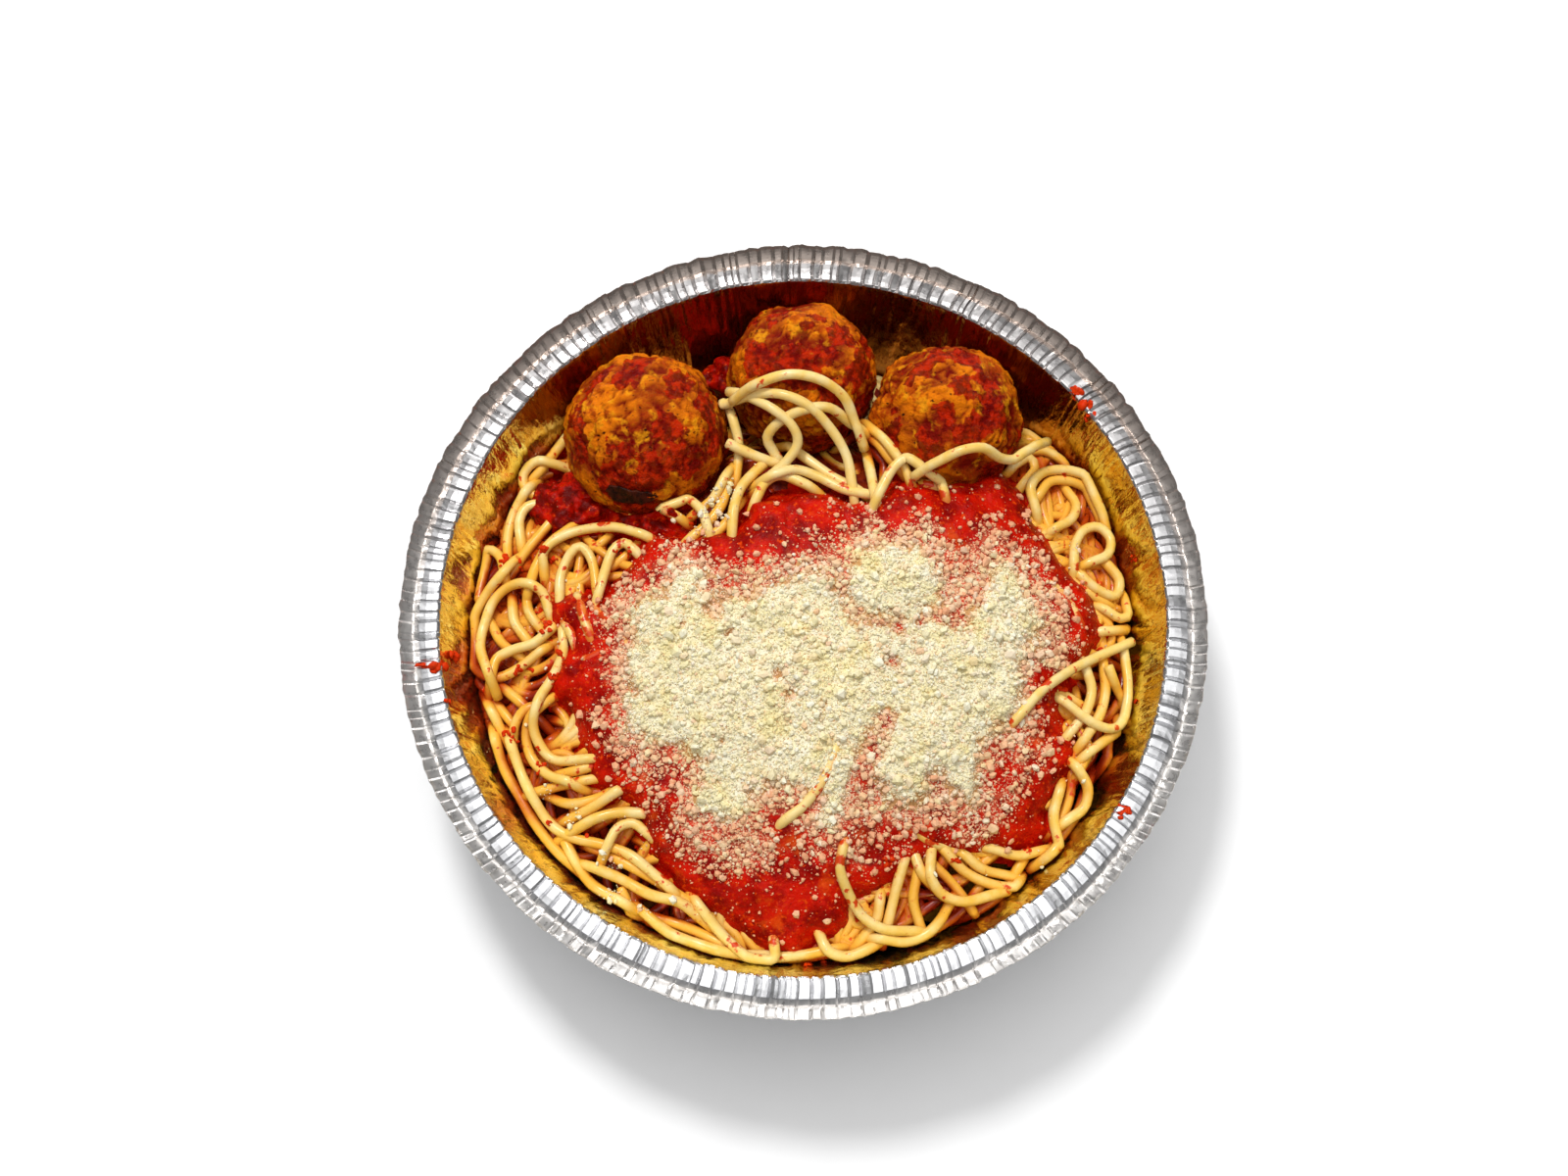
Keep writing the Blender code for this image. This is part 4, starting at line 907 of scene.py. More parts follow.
def sauce_field(pile):
    """Height of the sauce: a grainy pool inside its outline, thin over noodles at its edge."""
    inside = np.clip(-SAUCE_REACH / 16.0, 0.0, 1.0)
    depth = SAUCE_EDGE + (SAUCE_THICKNESS - SAUCE_EDGE) * np.sin(inside * math.pi / 2)
    lumps = 0.9 * grid_grain(9.0) + 0.45 * grid_grain(3.2, 7.0)
    pool = HEAP + SAUCE_GAP + depth + lumps - 5.5 * smooth(-3.5, 3.0, SAUCE_REACH)
    film = blurred(pile.top, 1) + 0.35 - 2.6 * smooth(-4.0, 0.5, SAUCE_REACH)
    chunky = 1.3 * grid_grain(3.4, 8.0) + 0.7 * grid_grain(1.8, 9.0)
    pocket = blurred(pile.top, 3) + 0.5 + chunky - 4.0 * smooth(-2.5, 1.5, POCKET_REACH)
    surface = np.maximum(np.maximum(pool, film), pocket)
    return surface + 0.16 * grid_grain(1.3, 2.0) + 0.1 * grid_grain(0.7, 4.0)


def cheese_density():
    """How thickly the cheese lies, from 0 on bare sauce to 1 on its mounds."""
    mounds = np.zeros(GRID_X.shape)
    for x, y, spread in CHEESE_MOUNDS:
        away = np.hypot(GRID_X - x, GRID_Y - y) / spread
        mounds = np.maximum(mounds, np.exp(-away ** 4))
    broad = CHEESE_REACH + 4.5 * grid_grain(7.0, 27.0) + 2.0 * grid_grain(3.0, 28.0)
    covered = 0.48 * smooth(15.0, 0.0, broad) + 0.52 * smooth(1.5, -3.0, CHEESE_REACH)
    for spots, strength in ((THIN_SPOTS, 0.55), (BARE_SPOTS, 0.9)):
        for pixel, reach in spots:
            x, y, _ = on_heap([pixel], 7.0)[0]
            away = np.hypot(GRID_X - x, GRID_Y - y) + 0.8 * grid_grain(1.5, 17.0)
            covered = covered * (1.0 - strength * smooth(1.2 * reach, 0.0, away))
    patchy = 0.18 * grid_grain(5.0, 21.0) + 0.20 * grid_grain(1.8, 23.0)
    on_sauce = smooth(1.0, -3.0, SAUCE_REACH)
    return np.clip(covered * (0.95 + 0.15 * mounds + patchy), 0.0, 1.0) * on_sauce, mounds


def cube_sphere(cuts):
    """Directions and quads of a round ball made from a cube's six faces."""
    line = np.tan(np.linspace(-math.pi / 4, math.pi / 4, cuts + 1))
    across, along = np.meshgrid(line, line, indexing="ij")
    ones = np.ones_like(across)
    sides = []
    for axis in range(3):
        for sign in (1.0, -1.0):
            spots = [None, None, None]
            spots[axis] = ones * sign
            spots[(axis + 1) % 3] = across * sign
            spots[(axis + 2) % 3] = along
            sides.append(np.stack(spots, axis=-1).reshape(-1, 3))
    directions = np.vstack(sides)
    directions /= np.linalg.norm(directions, axis=1)[:, None]
    number = np.arange((cuts + 1) ** 2).reshape(cuts + 1, cuts + 1)
    quad = np.stack([number[:-1, :-1], number[1:, :-1], number[1:, 1:], number[:-1, 1:]], axis=-1)
    quads = np.vstack([quad.reshape(-1, 4) + side * number.size for side in range(6)])
    _, first, back = np.unique(np.round(directions, 5), axis=0, return_index=True,
                               return_inverse=True)
    return directions[first], back.reshape(-1)[quads]


def meatball_form(name, directions):
    """Radius of a meatball in each direction, as in the part's source."""
    centre, radius = MEATBALLS[name]
    seed = Vector(centre) * MM * 400.0
    hollow = np.array([0.5 - 0.5 * noise.noise(Vector(way) * 3.1 + seed) for way in directions])
    return radius * (1.0 - MEATBALL_LUMPS * hollow)


def on_ball(pixel, centre, radius):
    """The point of a ball that the photo shows at a pixel."""
    high, low = from_photo(np.array([pixel, pixel], float), np.array([80.0, 0.0]))
    way = (low - high) / np.linalg.norm(low - high)
    middle = np.dot(centre - high, way)
    miss = np.linalg.norm(high + way * middle - centre)
    return high + way * (middle - math.sqrt(max(radius ** 2 - miss ** 2, 0.0)))


def mince_gaps(spots, centre, radius):
    """How far each point of a ball is from the seam between two lumps of mince."""
    draw = np.random.default_rng(int(abs(centre[0]) * 10))
    seeds = draw.normal(size=(MINCE_LUMPS, 3))
    seeds *= (radius / np.linalg.norm(seeds, axis=1))[:, None]
    warp = np.stack([grain(spots + level, 2.6) for level in (20.0, 40.0, 60.0)], axis=1)
    bent = spots - centre + 1.3 * warp
    gaps = np.empty(len(bent))
    for start in range(0, len(bent), MINCE_BATCH):
        part = bent[start:start + MINCE_BATCH]
        away = np.linalg.norm(part[:, None, :] - seeds[None, :, :], axis=2)
        nearest = np.partition(away, 1, axis=1)
        gaps[start:start + MINCE_BATCH] = nearest[:, 1] - nearest[:, 0]
    return gaps


def smeared(name, directions, spots):
    """Where sauce lies on a meatball: the smears that show, its underside and its hidden side."""
    centre, radius = MEATBALLS[name]
    ragged = 2.6 * grain(spots + 160.0, 3.0) + 1.6 * grain(spots + 200.0, 1.3)
    hidden = smooth(0.25, -0.15, directions @ -FORWARD)
    patch = hidden * smooth(-0.2, 0.3, grain(spots + 180.0, 8.5))
    for pixel, reach in SMEARS[name]:
        away = np.linalg.norm(spots - on_ball(pixel, np.array(centre), radius), axis=1)
        patch = np.maximum(patch, smooth(reach + 2.6, reach - 0.8, away + ragged))
    low = directions @ UNDERSIDE + 0.25 * grain(spots + 220.0, 4.0)
    return np.maximum(patch, smooth(0.12, 0.45, low))


def meatball_mesh(name):
    """A ball of coarse minced meat with crumbs, cracks and smears of sauce."""
    directions, quads = cube_sphere(MEATBALL_CUTS)
    centre, radius = MEATBALLS[name]
    spots = directions * radius + centre
    gap = mince_gaps(spots, centre, radius)
    coarse = smooth(-0.5, 0.3, grain(spots + 80.0, 7.0))
    lump = np.sqrt(np.clip(gap / 1.5, 0.0, 1.0)) - 0.7
    relief = 0.85 * grain(spots + 100.0, 6.5) + lump * (0.15 + 0.6 * coarse)
    relief = relief + 0.35 * grain(spots + 120.0, 2.0) + 0.22 * grain(spots + 140.0, 0.95)
    grown = MEATBALL_GROWTH[name] * smooth(1.0, 0.65, directions[:, 2])
    size = meatball_form(name, directions) + relief + grown
    points = np.array(centre) + directions * size[:, None]
    # The relief and the cracks also set painted shade in the meat's colour
    facts = {"relief": np.clip(0.5 + 0.55 * relief, 0, 1), "sauce": smeared(name, directions, spots),
             "crack_shade": smooth(0.35, 0.0, gap) * (0.1 + 0.6 * coarse)}
    return numpy_mesh(points, quads, facts)


def clump_mesh(name):
    """A lumpy spoonful of sauce with bits of tomato, darkened all over as painted shade."""
    directions, quads = cube_sphere(CLUMP_CUTS)
    centre, half = CLUMPS[name]
    seed = Vector(centre) * MM * 300.0
    size = np.array([1.0 - 0.22 * (0.5 + 0.5 * noise.noise(Vector(way) * 1.7 + seed))
                     for way in directions])
    points = directions * np.array(half) * size[:, None] + centre
    lumps = 1.3 * grain(points, 3.0) + 0.8 * grain(points, 1.5)
    # Painted shade over the whole spoonful, which lies in the meatballs' shadow
    facts = {"dark": np.ones(len(points))}
    return numpy_mesh(points + directions * lumps[:, None], quads, facts)


def leaf_mesh():
    """A thin wavy fragment that follows the front of the left meatball."""
    centre, radius = MEATBALLS["meatball_left"]
    bearing, elevation = math.radians(LEAF_BEARING), math.radians(LEAF_ELEVATION)
    outward = np.array([math.cos(bearing) * math.cos(elevation),
                        math.sin(bearing) * math.cos(elevation), math.sin(elevation)])
    along = np.cross([0.0, 0.0, 1.0], outward)
    along /= np.linalg.norm(along)
    across = np.cross(outward, along)
    angle = np.arange(LEAF_COLUMNS) / LEAF_COLUMNS * 2 * math.pi
    share = np.linspace(0.02, 1.0, LEAF_RINGS)[:, None]
    ragged = 1.0 + 0.10 * np.sin(3 * angle + 1.0) + 0.05 * np.sin(11 * angle)
    x = share * np.cos(angle) * ragged
    y = share * np.sin(angle) * ragged
    ways = (outward * radius + along * x[..., None] * LEAF_HALF_LENGTH
            + across * y[..., None] * LEAF_HALF_WIDTH)
    ways /= np.linalg.norm(ways, axis=-1)[..., None]
    lift = 0.75 + 0.25 * np.sin(5.0 * x + 2.0 * y) + 0.12 * np.sin(17.0 * x)
    top = (centre + ways * (radius + lift + 0.2)[..., None]).reshape(-1, 3)
    under = (centre + ways * (radius + lift - 0.3)[..., None]).reshape(-1, 3)
    quads = ring_quads(LEAF_RINGS, LEAF_COLUMNS)[:, [0, 3, 2, 1]]
    edge = len(top) - LEAF_COLUMNS + np.arange(LEAF_COLUMNS)
    after = np.roll(edge, -1)
    rim = np.stack([edge, len(top) + edge, len(top) + after, after], -1)
    faces = np.vstack([quads, quads[:, ::-1] + len(top), rim])
    return numpy_mesh(np.vstack([top, under]), faces)


def tumbled(draw, shape, places, sizes, rough, flatness, facts):
    """One mesh of many crumbs, each turned, squashed and roughened in its own way."""
    corners, sides = shape
    count = len(places)
    spin = draw.normal(size=(count, 4))
    spin /= np.linalg.norm(spin, axis=1)[:, None]
    w, x, y, z = spin.T
    turn = np.array([
        [1 - 2 * (y * y + z * z), 2 * (x * y - z * w), 2 * (x * z + y * w)],
        [2 * (x * y + z * w), 1 - 2 * (x * x + z * z), 2 * (y * z - x * w)],
        [2 * (x * z - y * w), 2 * (y * z + x * w), 1 - 2 * (x * x + y * y)],
    ]).transpose(2, 0, 1)
    local = corners[None] * draw.uniform(1.0 - rough, 1.0 + rough, (count, len(corners), 1))
    local = local * draw.uniform(flatness, 1.25, (count, 1, 3))
    points = np.einsum("nij,nkj->nki", turn, local) * sizes[:, None, None]
    points = (points + places[:, None, :]).reshape(-1, 3)
    faces = sides[None] + (np.arange(count) * len(corners))[:, None, None]
    facts = {key: np.repeat(values, len(corners)) for key, values in facts.items()}
    return points, faces.reshape(-1, sides.shape[1]), facts


def solid_shape(detail):
    """Points and triangles of a small round solid: 20 faces, or 80 with more detail."""
    shape = bmesh.new()
    bmesh.ops.create_icosphere(shape, subdivisions=detail, radius=1.0)
    points = np.array([vertex.co[:] for vertex in shape.verts])
    faces = np.array([[vertex.index for vertex in face.verts] for face in shape.faces])
    shape.free()
    return points, faces


OCTAHEDRON = (
    np.array([(1, 0, 0), (-1, 0, 0), (0, 1, 0), (0, -1, 0), (0, 0, 1), (0, 0, -1)], float),
    np.array([(0, 2, 4), (2, 1, 4), (1, 3, 4), (3, 0, 4), (2, 0, 5), (1, 2, 5), (3, 1, 5), (0, 3, 5)]),
)


def scattered(draw, weight, count):
    """Plan points drawn from the grid, likelier where the weight is larger."""
    share = weight.ravel() / weight.sum()
    cells = draw.choice(weight.size, count, p=share)
    points = np.stack([GRID_X.ravel()[cells], GRID_Y.ravel()[cells], np.zeros(count)], axis=1)
    points[:, :2] += draw.uniform(-0.5, 0.5, (count, 2)) * GRID_STEP
    return points


def crumb_mesh(draw, shape, surface, weight, count, sizes, density):
    """Crumbs of cheese of one kind, lying on a surface."""
    places = scattered(draw, weight, count)
    size = draw.uniform(0.0, 1.0, count) ** 2 * (sizes[1] - sizes[0]) + sizes[0]
    places[:, 2] = sampled(surface, places) + size * draw.uniform(0.1, 0.75, count)
    thick = sampled(density, places)
    on_sauce = smooth(2.0, -1.0, sampled(SAUCE_REACH, places))
    soak = on_sauce * (1.15 - 1.25 * thick) + draw.normal(0.0, 0.25, count)
    facts = {"tone": draw.uniform(0.0, 1.0, count), "soak": np.clip(soak, 0.0, 1.0)}
    points, faces, facts = tumbled(draw, shape, places, size, 0.25, 0.6, facts)
    return numpy_mesh(points, faces, facts, flat=True)


def crimp_columns(draw):
    """Bearings of the pan's columns, with the crimp's height at each."""
    widths = draw.uniform(*CRIMP_WIDTHS, CRIMPS)
    edges = np.concatenate([[0.0], np.cumsum(widths)]) / widths.sum() * 2 * math.pi
    bearings, heights = [], []
    for start, end in zip(edges, edges[1:]):
        strength = draw.uniform(*CRIMP_STRENGTHS)
        left, right = draw.uniform(*CRIMP_SHOULDERS, 2)
        for share, height in ((0.0, -1.0), (0.17, left), (0.5, (left + right) / 2), (0.83, right)):
            bearings.append(start + share * (end - start))
            heights.append(height * strength)
    return np.array(bearings), np.array(heights)


def pan_rows():
    """The pan's inner surface, lip to floor: radius, height, crimp, lip and wall shares."""
    rows = []
    for share in np.linspace(0.0, 1.0, LIP_ROWS)[:-1]:
        rows.append((LIP_RADIUS + (FOLD_RADIUS - LIP_RADIUS) * share,
                     LIP_HEIGHT + (FOLD_HEIGHT - LIP_HEIGHT) * share ** 0.8, LIP_CRIMP, 1.0, 0.0))
    for share, rise, strength in FLANGE_PROFILE:
        rows.append((FOLD_RADIUS + (RIM_RADIUS - FOLD_RADIUS) * share, FOLD_HEIGHT + rise,
                     strength, max(0.0, 1.0 - share * 6), 0.0))
    rows.append((RIM_RADIUS - 0.45, RIM_HEIGHT - 0.5, 0.6, 0.0, 0.3))
    for height in np.linspace(RIM_HEIGHT - 1.6, CORNER_HEIGHT, WALL_ROWS):
        rows.append((wall_radius(height), height, 0.0, 0.0, 1.0))
    for share in CORNER_SHARES:
        height = CORNER_HEIGHT + (FOIL_THICKNESS - CORNER_HEIGHT) * share
        rows.append((wall_radius(height), height, 0.0, 0.0, 1.0 - share))
    for radius in FLOOR_RADII:
        rows.append((radius, FOIL_THICKNESS, 0.0, 0.0, 0.0))
    return np.array(rows)


def pan_creases(arc, height):
    """Creases of three sizes over the pan's rows and columns."""
    flat = np.stack([arc, np.broadcast_to(height * 0.28, arc.shape), arc * 0], -1).reshape(-1, 3)
    creases = grain(flat, 1.7)
    flat[:, 1] *= 2.6
    small = grain(flat + 60.0, 1.0)
    broad = grain(flat * [1, 0.3, 1] + 30.0, 9.0)
    return (field.reshape(arc.shape) for field in (creases, small, broad))


def pan_mesh(draw):
    """The foil's inner side: crimps round the flange, a crinkled lip and a creased wall."""
    bearings, crimps = crimp_columns(draw)
    rows = pan_rows()
    radius, height, crimp_share, lip_share, wall_share = (column[:, None] for column in rows.T)
    along_row = np.arange(len(rows)) * 0.9
    slant = 0.35 * grain(np.stack([along_row, along_row * 0, along_row * 0], 1), 4.0)[:, None]
    around = bearings[None, :] + crimp_share * slant / FLANGE_ARC
    creases, small, broad = pan_creases(around * FLANGE_ARC, height)
    at_rim = crimp_share * (radius < RIM_RADIUS + 0.3)
    pleats = wall_share * smooth(12.0, 38.0, height)
    radius = radius + LIP_CRINKLE * lip_share * (creases * 0.6 + 0.4 * small) - 0.25 * lip_share
    radius = radius - wall_share * (WALL_CRINKLE * creases + 0.16 * small + 0.35 * broad)
    radius = radius - (CRIMP_RUN * at_rim + PLEAT_RUN * pleats) * crimps[None, :]
    height = height + crimp_share * CRIMP_DEPTH * (crimps[None, :] + 0.25 * small)
    height = height + lip_share * 0.25 * (creases - 0.6)
    points = np.stack([radius * np.cos(around), radius * np.sin(around), height], -1)
    inside = np.broadcast_to(wall_share, around.shape) > 0
    lip = np.broadcast_to(lip_share, around.shape)
    facts = {"inside": inside.ravel().astype(float), "lip": lip.ravel()}
    quads = ring_quads(len(rows), len(bearings))
    mesh = numpy_mesh(points.reshape(-1, 3), quads, facts)
    below_rim = np.repeat(np.arange(len(rows) - 1) > FLANGE_ROWS, len(bearings))
    mesh.polygons.foreach_set("use_smooth", below_rim)
    return mesh


class Look:
    """One procedural material; nodes are added by kind and linked by socket name."""

    def __init__(self, name, constants=None):
        self.material = bpy.data.materials.new(name)
        self.material.use_nodes = True
        self.tree = self.material.node_tree
        self.shader = self.tree.nodes["Principled BSDF"]
        for key, value in (constants or {}).items():
            self.shader.inputs[key].default_value = value
        self.place = self.node("ShaderNodeTexCoord").outputs["Object"]

    def node(self, kind, inputs=None, **settings):
        """A node with settings, and with inputs that are numbers or other nodes' outputs."""
        made = self.tree.nodes.new(kind)
        for key, value in settings.items():
            setattr(made, key, value)
        for key, value in (inputs or {}).items():
            if isinstance(value, bpy.types.NodeSocket):
                self.tree.links.new(value, made.inputs[key])
            else:
                made.inputs[key].default_value = value
        return made

    def noise(self, size, detail=3.0, roughness=0.55, stretch=None):
        """Noise from 0 to 1 with features of a size in millimetres."""
        place = self.place
        if stretch:
            place = self.node("ShaderNodeMapping", {"Vector": place, "Scale": stretch}).outputs[0]
        inputs = {"Vector": place, "Scale": 1.0 / (size * MM), "Detail": detail,
                  "Roughness": roughness}
        return self.node("ShaderNodeTexNoise", inputs).outputs["Fac"]

    def cells(self, size):
        """Distance to scattered points, in cells of a size in millimetres."""
        inputs = {"Vector": self.place, "Scale": 1.0 / (size * MM)}
        return self.node("ShaderNodeTexVoronoi", inputs, feature="F1").outputs["Distance"]

    def fact(self, name):
        """A fact that is stored at each of the mesh's points."""
        return self.node("ShaderNodeAttribute", attribute_name=name).outputs["Fac"]

    def math(self, operation, a, b=0.0):
        """Arithmetic on two values."""
        return self.node("ShaderNodeMath", {0: a, 1: b}, operation=operation).outputs[0]

    def span(self, value, low, high, to_low=0.0, to_high=1.0):
        """A value eased from one range to another."""
        inputs = {"Value": value, "From Min": low, "From Max": high, "To Min": to_low,
                  "To Max": to_high}
        made = self.node("ShaderNodeMapRange", inputs, interpolation_type="SMOOTHSTEP")
        return made.outputs[0]

    def uneven(self, size, low, high, detail=3.0):
        """A value that wanders between two others, with features of a size."""
        return self.span(self.noise(size, detail), 0.3, 0.7, low, high)

    def blend(self, share, first, second):
        """A mix of two colours."""
        made = self.node("ShaderNodeMix", data_type="RGBA")
        for key, value in ((0, share), (6, first), (7, second)):
            if isinstance(value, bpy.types.NodeSocket):
                self.tree.links.new(value, made.inputs[key])
            elif key == 0:
                made.inputs[key].default_value = value
            else:
                made.inputs[key].default_value = (*value, 1.0)
        return made.outputs[2]

    def patched(self, base, colour, size, low, high, most=1.0, detail=3.0, roughness=0.55,
                stretch=None):
        """A base colour with patches of another, from where the noise is low to where it is high."""
        share = self.span(self.noise(size, detail, roughness, stretch), low, high, 0.0, most)
        return self.blend(share, base, colour)

    def bump(self, height, strength, depth, normal=None):
        """A bump of a depth in millimetres."""
        inputs = {"Height": height, "Strength": strength, "Distance": depth * MM}
        if normal:
            inputs["Normal"] = normal
        return self.node("ShaderNodeBump", inputs).outputs["Normal"]

    def finish(self, base_color, roughness, normal=None):
        """Link results to the shader's sockets."""
        self.tree.links.new(base_color, self.shader.inputs["Base Color"])
        self.tree.links.new(roughness, self.shader.inputs["Roughness"])
        if normal:
            self.tree.links.new(normal, self.shader.inputs["Normal"])
        return self.material


def pasta_look():
    """Cooked spaghetti: pale and moist, golden and brown below as painted shade, stained by the sauce
    near it.
    """
    look = Look("cooked_spaghetti", {"Specular IOR Level": 0.28})
    colour = look.blend(look.fact("tone"), PASTA["pale"], PASTA["yellow"])
    colour = look.patched(colour, PASTA["cloudy"], 4.0, 0.3, 0.75)
    # Painted shade: golden, brown and near black-red where the noodles lie lower than those round them
    for key, low, high in (("golden", 0.0, 0.35), ("brown", 0.35, 0.75), ("deep", 0.65, 1.0)):
        colour = look.blend(look.span(look.fact("depth"), low, high), colour, PASTA[key])
    stain = look.fact("stain")
    colour = look.blend(look.span(stain, 0.45, 1.0, 0.0, 0.85), colour, PASTA["stained"])
    spot = look.math("ADD", look.noise(2.6, 4.0), look.math("MULTIPLY", stain, 0.18))
    colour = look.blend(look.span(spot, 0.63, 0.71), colour, PASTA["sauce"])
    colour = look.patched(colour, PASTA["speck"], 0.7, 0.77, 0.82, detail=2.0)
    return look.finish(base_color=colour, roughness=look.uneven(1.8, 0.17, 0.34),
                       normal=look.bump(look.noise(0.9), 0.3, 0.08))


def core_look():
    """The unseen inside of the heap: dark red between the noodles, as sauce and painted shade, and
    golden by the wall.
    """
    look = Look("heap_inside", {"Specular IOR Level": 0.05})
    colour = look.patched(CORE["dark"], CORE["red"], 3.0, 0.35, 0.65)
    colour = look.blend(look.fact("edge"), colour, CORE["golden"])
    return look.finish(base_color=colour, roughness=look.uneven(2.0, 0.35, 0.6),
                       normal=look.bump(look.noise(1.2), 0.6, 0.4))


def powdered(look, colour, powder, dust):
    """Sauce that is pink where thin cheese has soaked in, with a dust of pale grains."""
    soaked = look.span(look.math("ADD", powder, look.noise(3.0)), 0.65, 1.15, 0.0, 0.65)
    colour = look.blend(soaked, colour, SAUCE["soaked"])
    grains = look.blend(look.span(powder, 0.2, 0.9), SAUCE["pink_dust"], SAUCE["pale_dust"])
    return look.blend(look.span(dust, 0.72, 0.77), colour, grains)


def sauce_look():
    """Tomato sauce: bright and dark red, grainy and wet, with thin cheese on it in places, and painted
    shadow by the left meatball and on the spoonfuls.
    """
    look = Look("tomato_sauce", {"Specular IOR Level": 0.06})
    colour = look.patched(SAUCE["bright"], SAUCE["deep"], 5.0, 0.35, 0.68, detail=4.0)
    colour = look.patched(colour, SAUCE["bit"], 1.1, 0.56, 0.70)
    colour = look.patched(colour, SAUCE["orange"], 8.0, 0.58, 0.72, 0.6, 4.0, 0.6)
    colour = look.patched(colour, SAUCE["dark"], 1.6, 0.66, 0.74, 1.0, 3.0, 0.6, (1.0, 1.0, 1.7))
    # Painted shadow: darker where the dark fact is set, by the left meatball and on the spoonfuls
    shaded = look.math("MULTIPLY", look.fact("dark"), look.span(look.noise(2.6), 0.38, 0.62))
    colour = look.blend(shaded, colour, SAUCE["shaded"])
    colour = look.blend(look.fact("smear"), colour, SAUCE["smear"])
    powder = look.fact("powder")
    dust = look.math("ADD", look.math("MULTIPLY", powder, 0.48), look.noise(0.55, 2.0))
    colour = powdered(look, colour, powder, dust)
    grainy = look.bump(look.noise(0.8, 4.0), 0.7, 0.35)
    return look.finish(base_color=colour, roughness=look.uneven(1.0, 0.16, 0.38),
                       normal=look.bump(dust, 0.5, 0.3, grainy))


def cheese_look(name, lumpy):
    """Grated hard cheese: cream, yellower in places, pink where the sauce has soaked in, and on the bed
    painted shade in the gaps between grains.
    """
    look = Look(name, {"Specular IOR Level": 0.15})
    colour = look.blend(look.fact("tone"), CHEESE["cream"], CHEESE["straw"])
    colour = look.patched(colour, CHEESE["yellow"], 7.0, 0.48, 0.68, 0.8)
    soak = look.fact("soak")
    normal = look.bump(look.noise(0.3, 4.0), 0.4, 0.3)
    if lumpy:
        gaps = look.math("ADD", look.math("MULTIPLY", soak, 0.30), look.noise(0.6))
        colour = look.blend(look.math("MULTIPLY", soak, 0.35), colour, CHEESE["soaked_bed"])
        # Painted shade in the gaps between the grains
        colour = look.blend(look.span(gaps, 0.57, 0.67, 0.0, 0.8), colour, CHEESE["gap"])
        normal = look.bump(look.cells(0.6), 0.7, -0.35, normal)
    else:
        colour = look.blend(soak, colour, CHEESE["soaked_crumb"])
    return look.finish(base_color=colour, roughness=look.uneven(0.8, 0.6, 0.85), normal=normal)


def meat_look():
    """Browned minced meat: orange-brown ridges, painted shade in the pits and cracks, dark specks, and
    smears of sauce.
    """
    look = Look("browned_meat", {"Specular IOR Level": 0.05})
    # Painted shade: darker in the pits and lighter on the ridges, by the relief
    colour = look.blend(look.span(look.fact("relief"), 0.15, 0.85), MEAT["pit_shade"], MEAT["ridge"])
    colour = look.patched(colour, MEAT["red"], 4.5, 0.50, 0.62, 0.75, 4.0, 0.65)
    colour = look.patched(colour, MEAT["golden"], 3.4, 0.54, 0.68, 0.8)
    # Painted shade in the cracks between lumps of mince
    colour = look.blend(look.math("MULTIPLY", look.fact("crack_shade"), 0.75), colour, MEAT["crack_shade"])
    colour = look.patched(colour, MEAT["speck"], 1.4, 0.645, 0.69, 1.0, 3.0, 0.6, (1.0, 1.3, 0.8))
    smear = look.fact("sauce")
    ragged = look.math("MULTIPLY", look.math("SUBTRACT", look.noise(1.7, 4.0, 0.7), 0.5), 2.2)
    ragged = look.math("MULTIPLY", ragged, look.span(smear, 0.0, 0.3))
    sauce = look.span(look.math("ADD", smear, ragged), 0.40, 0.66)
    glaze = look.patched(MEAT["dark_glaze"], MEAT["glaze"], 2.2, 0.4, 0.62, detail=4.0)
    colour = look.blend(look.math("MULTIPLY", sauce, 0.92), colour, glaze)
    grainy = look.bump(look.noise(2.4, 3.0, 0.6), 0.7, 0.9)
    return look.finish(base_color=colour, roughness=look.span(sauce, 0.0, 1.0, 0.42, 0.2),
                       normal=look.bump(look.noise(0.8, 5.0, 0.65), 1.0, 0.7, grainy))


def leaf_look():
    """A dark cooked leaf, brown in places."""
    look = Look("cooked_leaf", {"Specular IOR Level": 0.1})
    colour = look.patched(LEAF["black"], LEAF["brown"], 1.5, 0.35, 0.65)
    return look.finish(base_color=colour, roughness=look.uneven(0.8, 0.3, 0.5),
                       normal=look.bump(look.noise(0.6), 0.6, 0.3))


def bare_foil(look, place):
    """Rolled aluminium with painted light and reflection: lightest at the near side, and darker and
    browner on the lip and at the back.
    """
    # Painted light at the near side, and painted shade and reflection, darker and browner, behind
    near = look.span(place["Y"], -45.0 * MM, -80.0 * MM)
    behind = look.span(place["Y"], -20.0 * MM, 70.0 * MM)
    light = look.blend(near, FOIL["light"], FOIL["light_near"])
    dull = look.blend(near, FOIL["dull"], FOIL["dull_near"])
    colour = look.patched(light, dull, 6.0, 0.35, 0.7, detail=4.0)
    lip = look.blend(behind, FOIL["lip_near"], FOIL["lip_behind"])
    colour = look.blend(look.math("MULTIPLY", look.fact("lip"), 0.9), colour, lip)
    return look.blend(look.math("MULTIPLY", behind, 0.35), colour, FOIL["behind"])


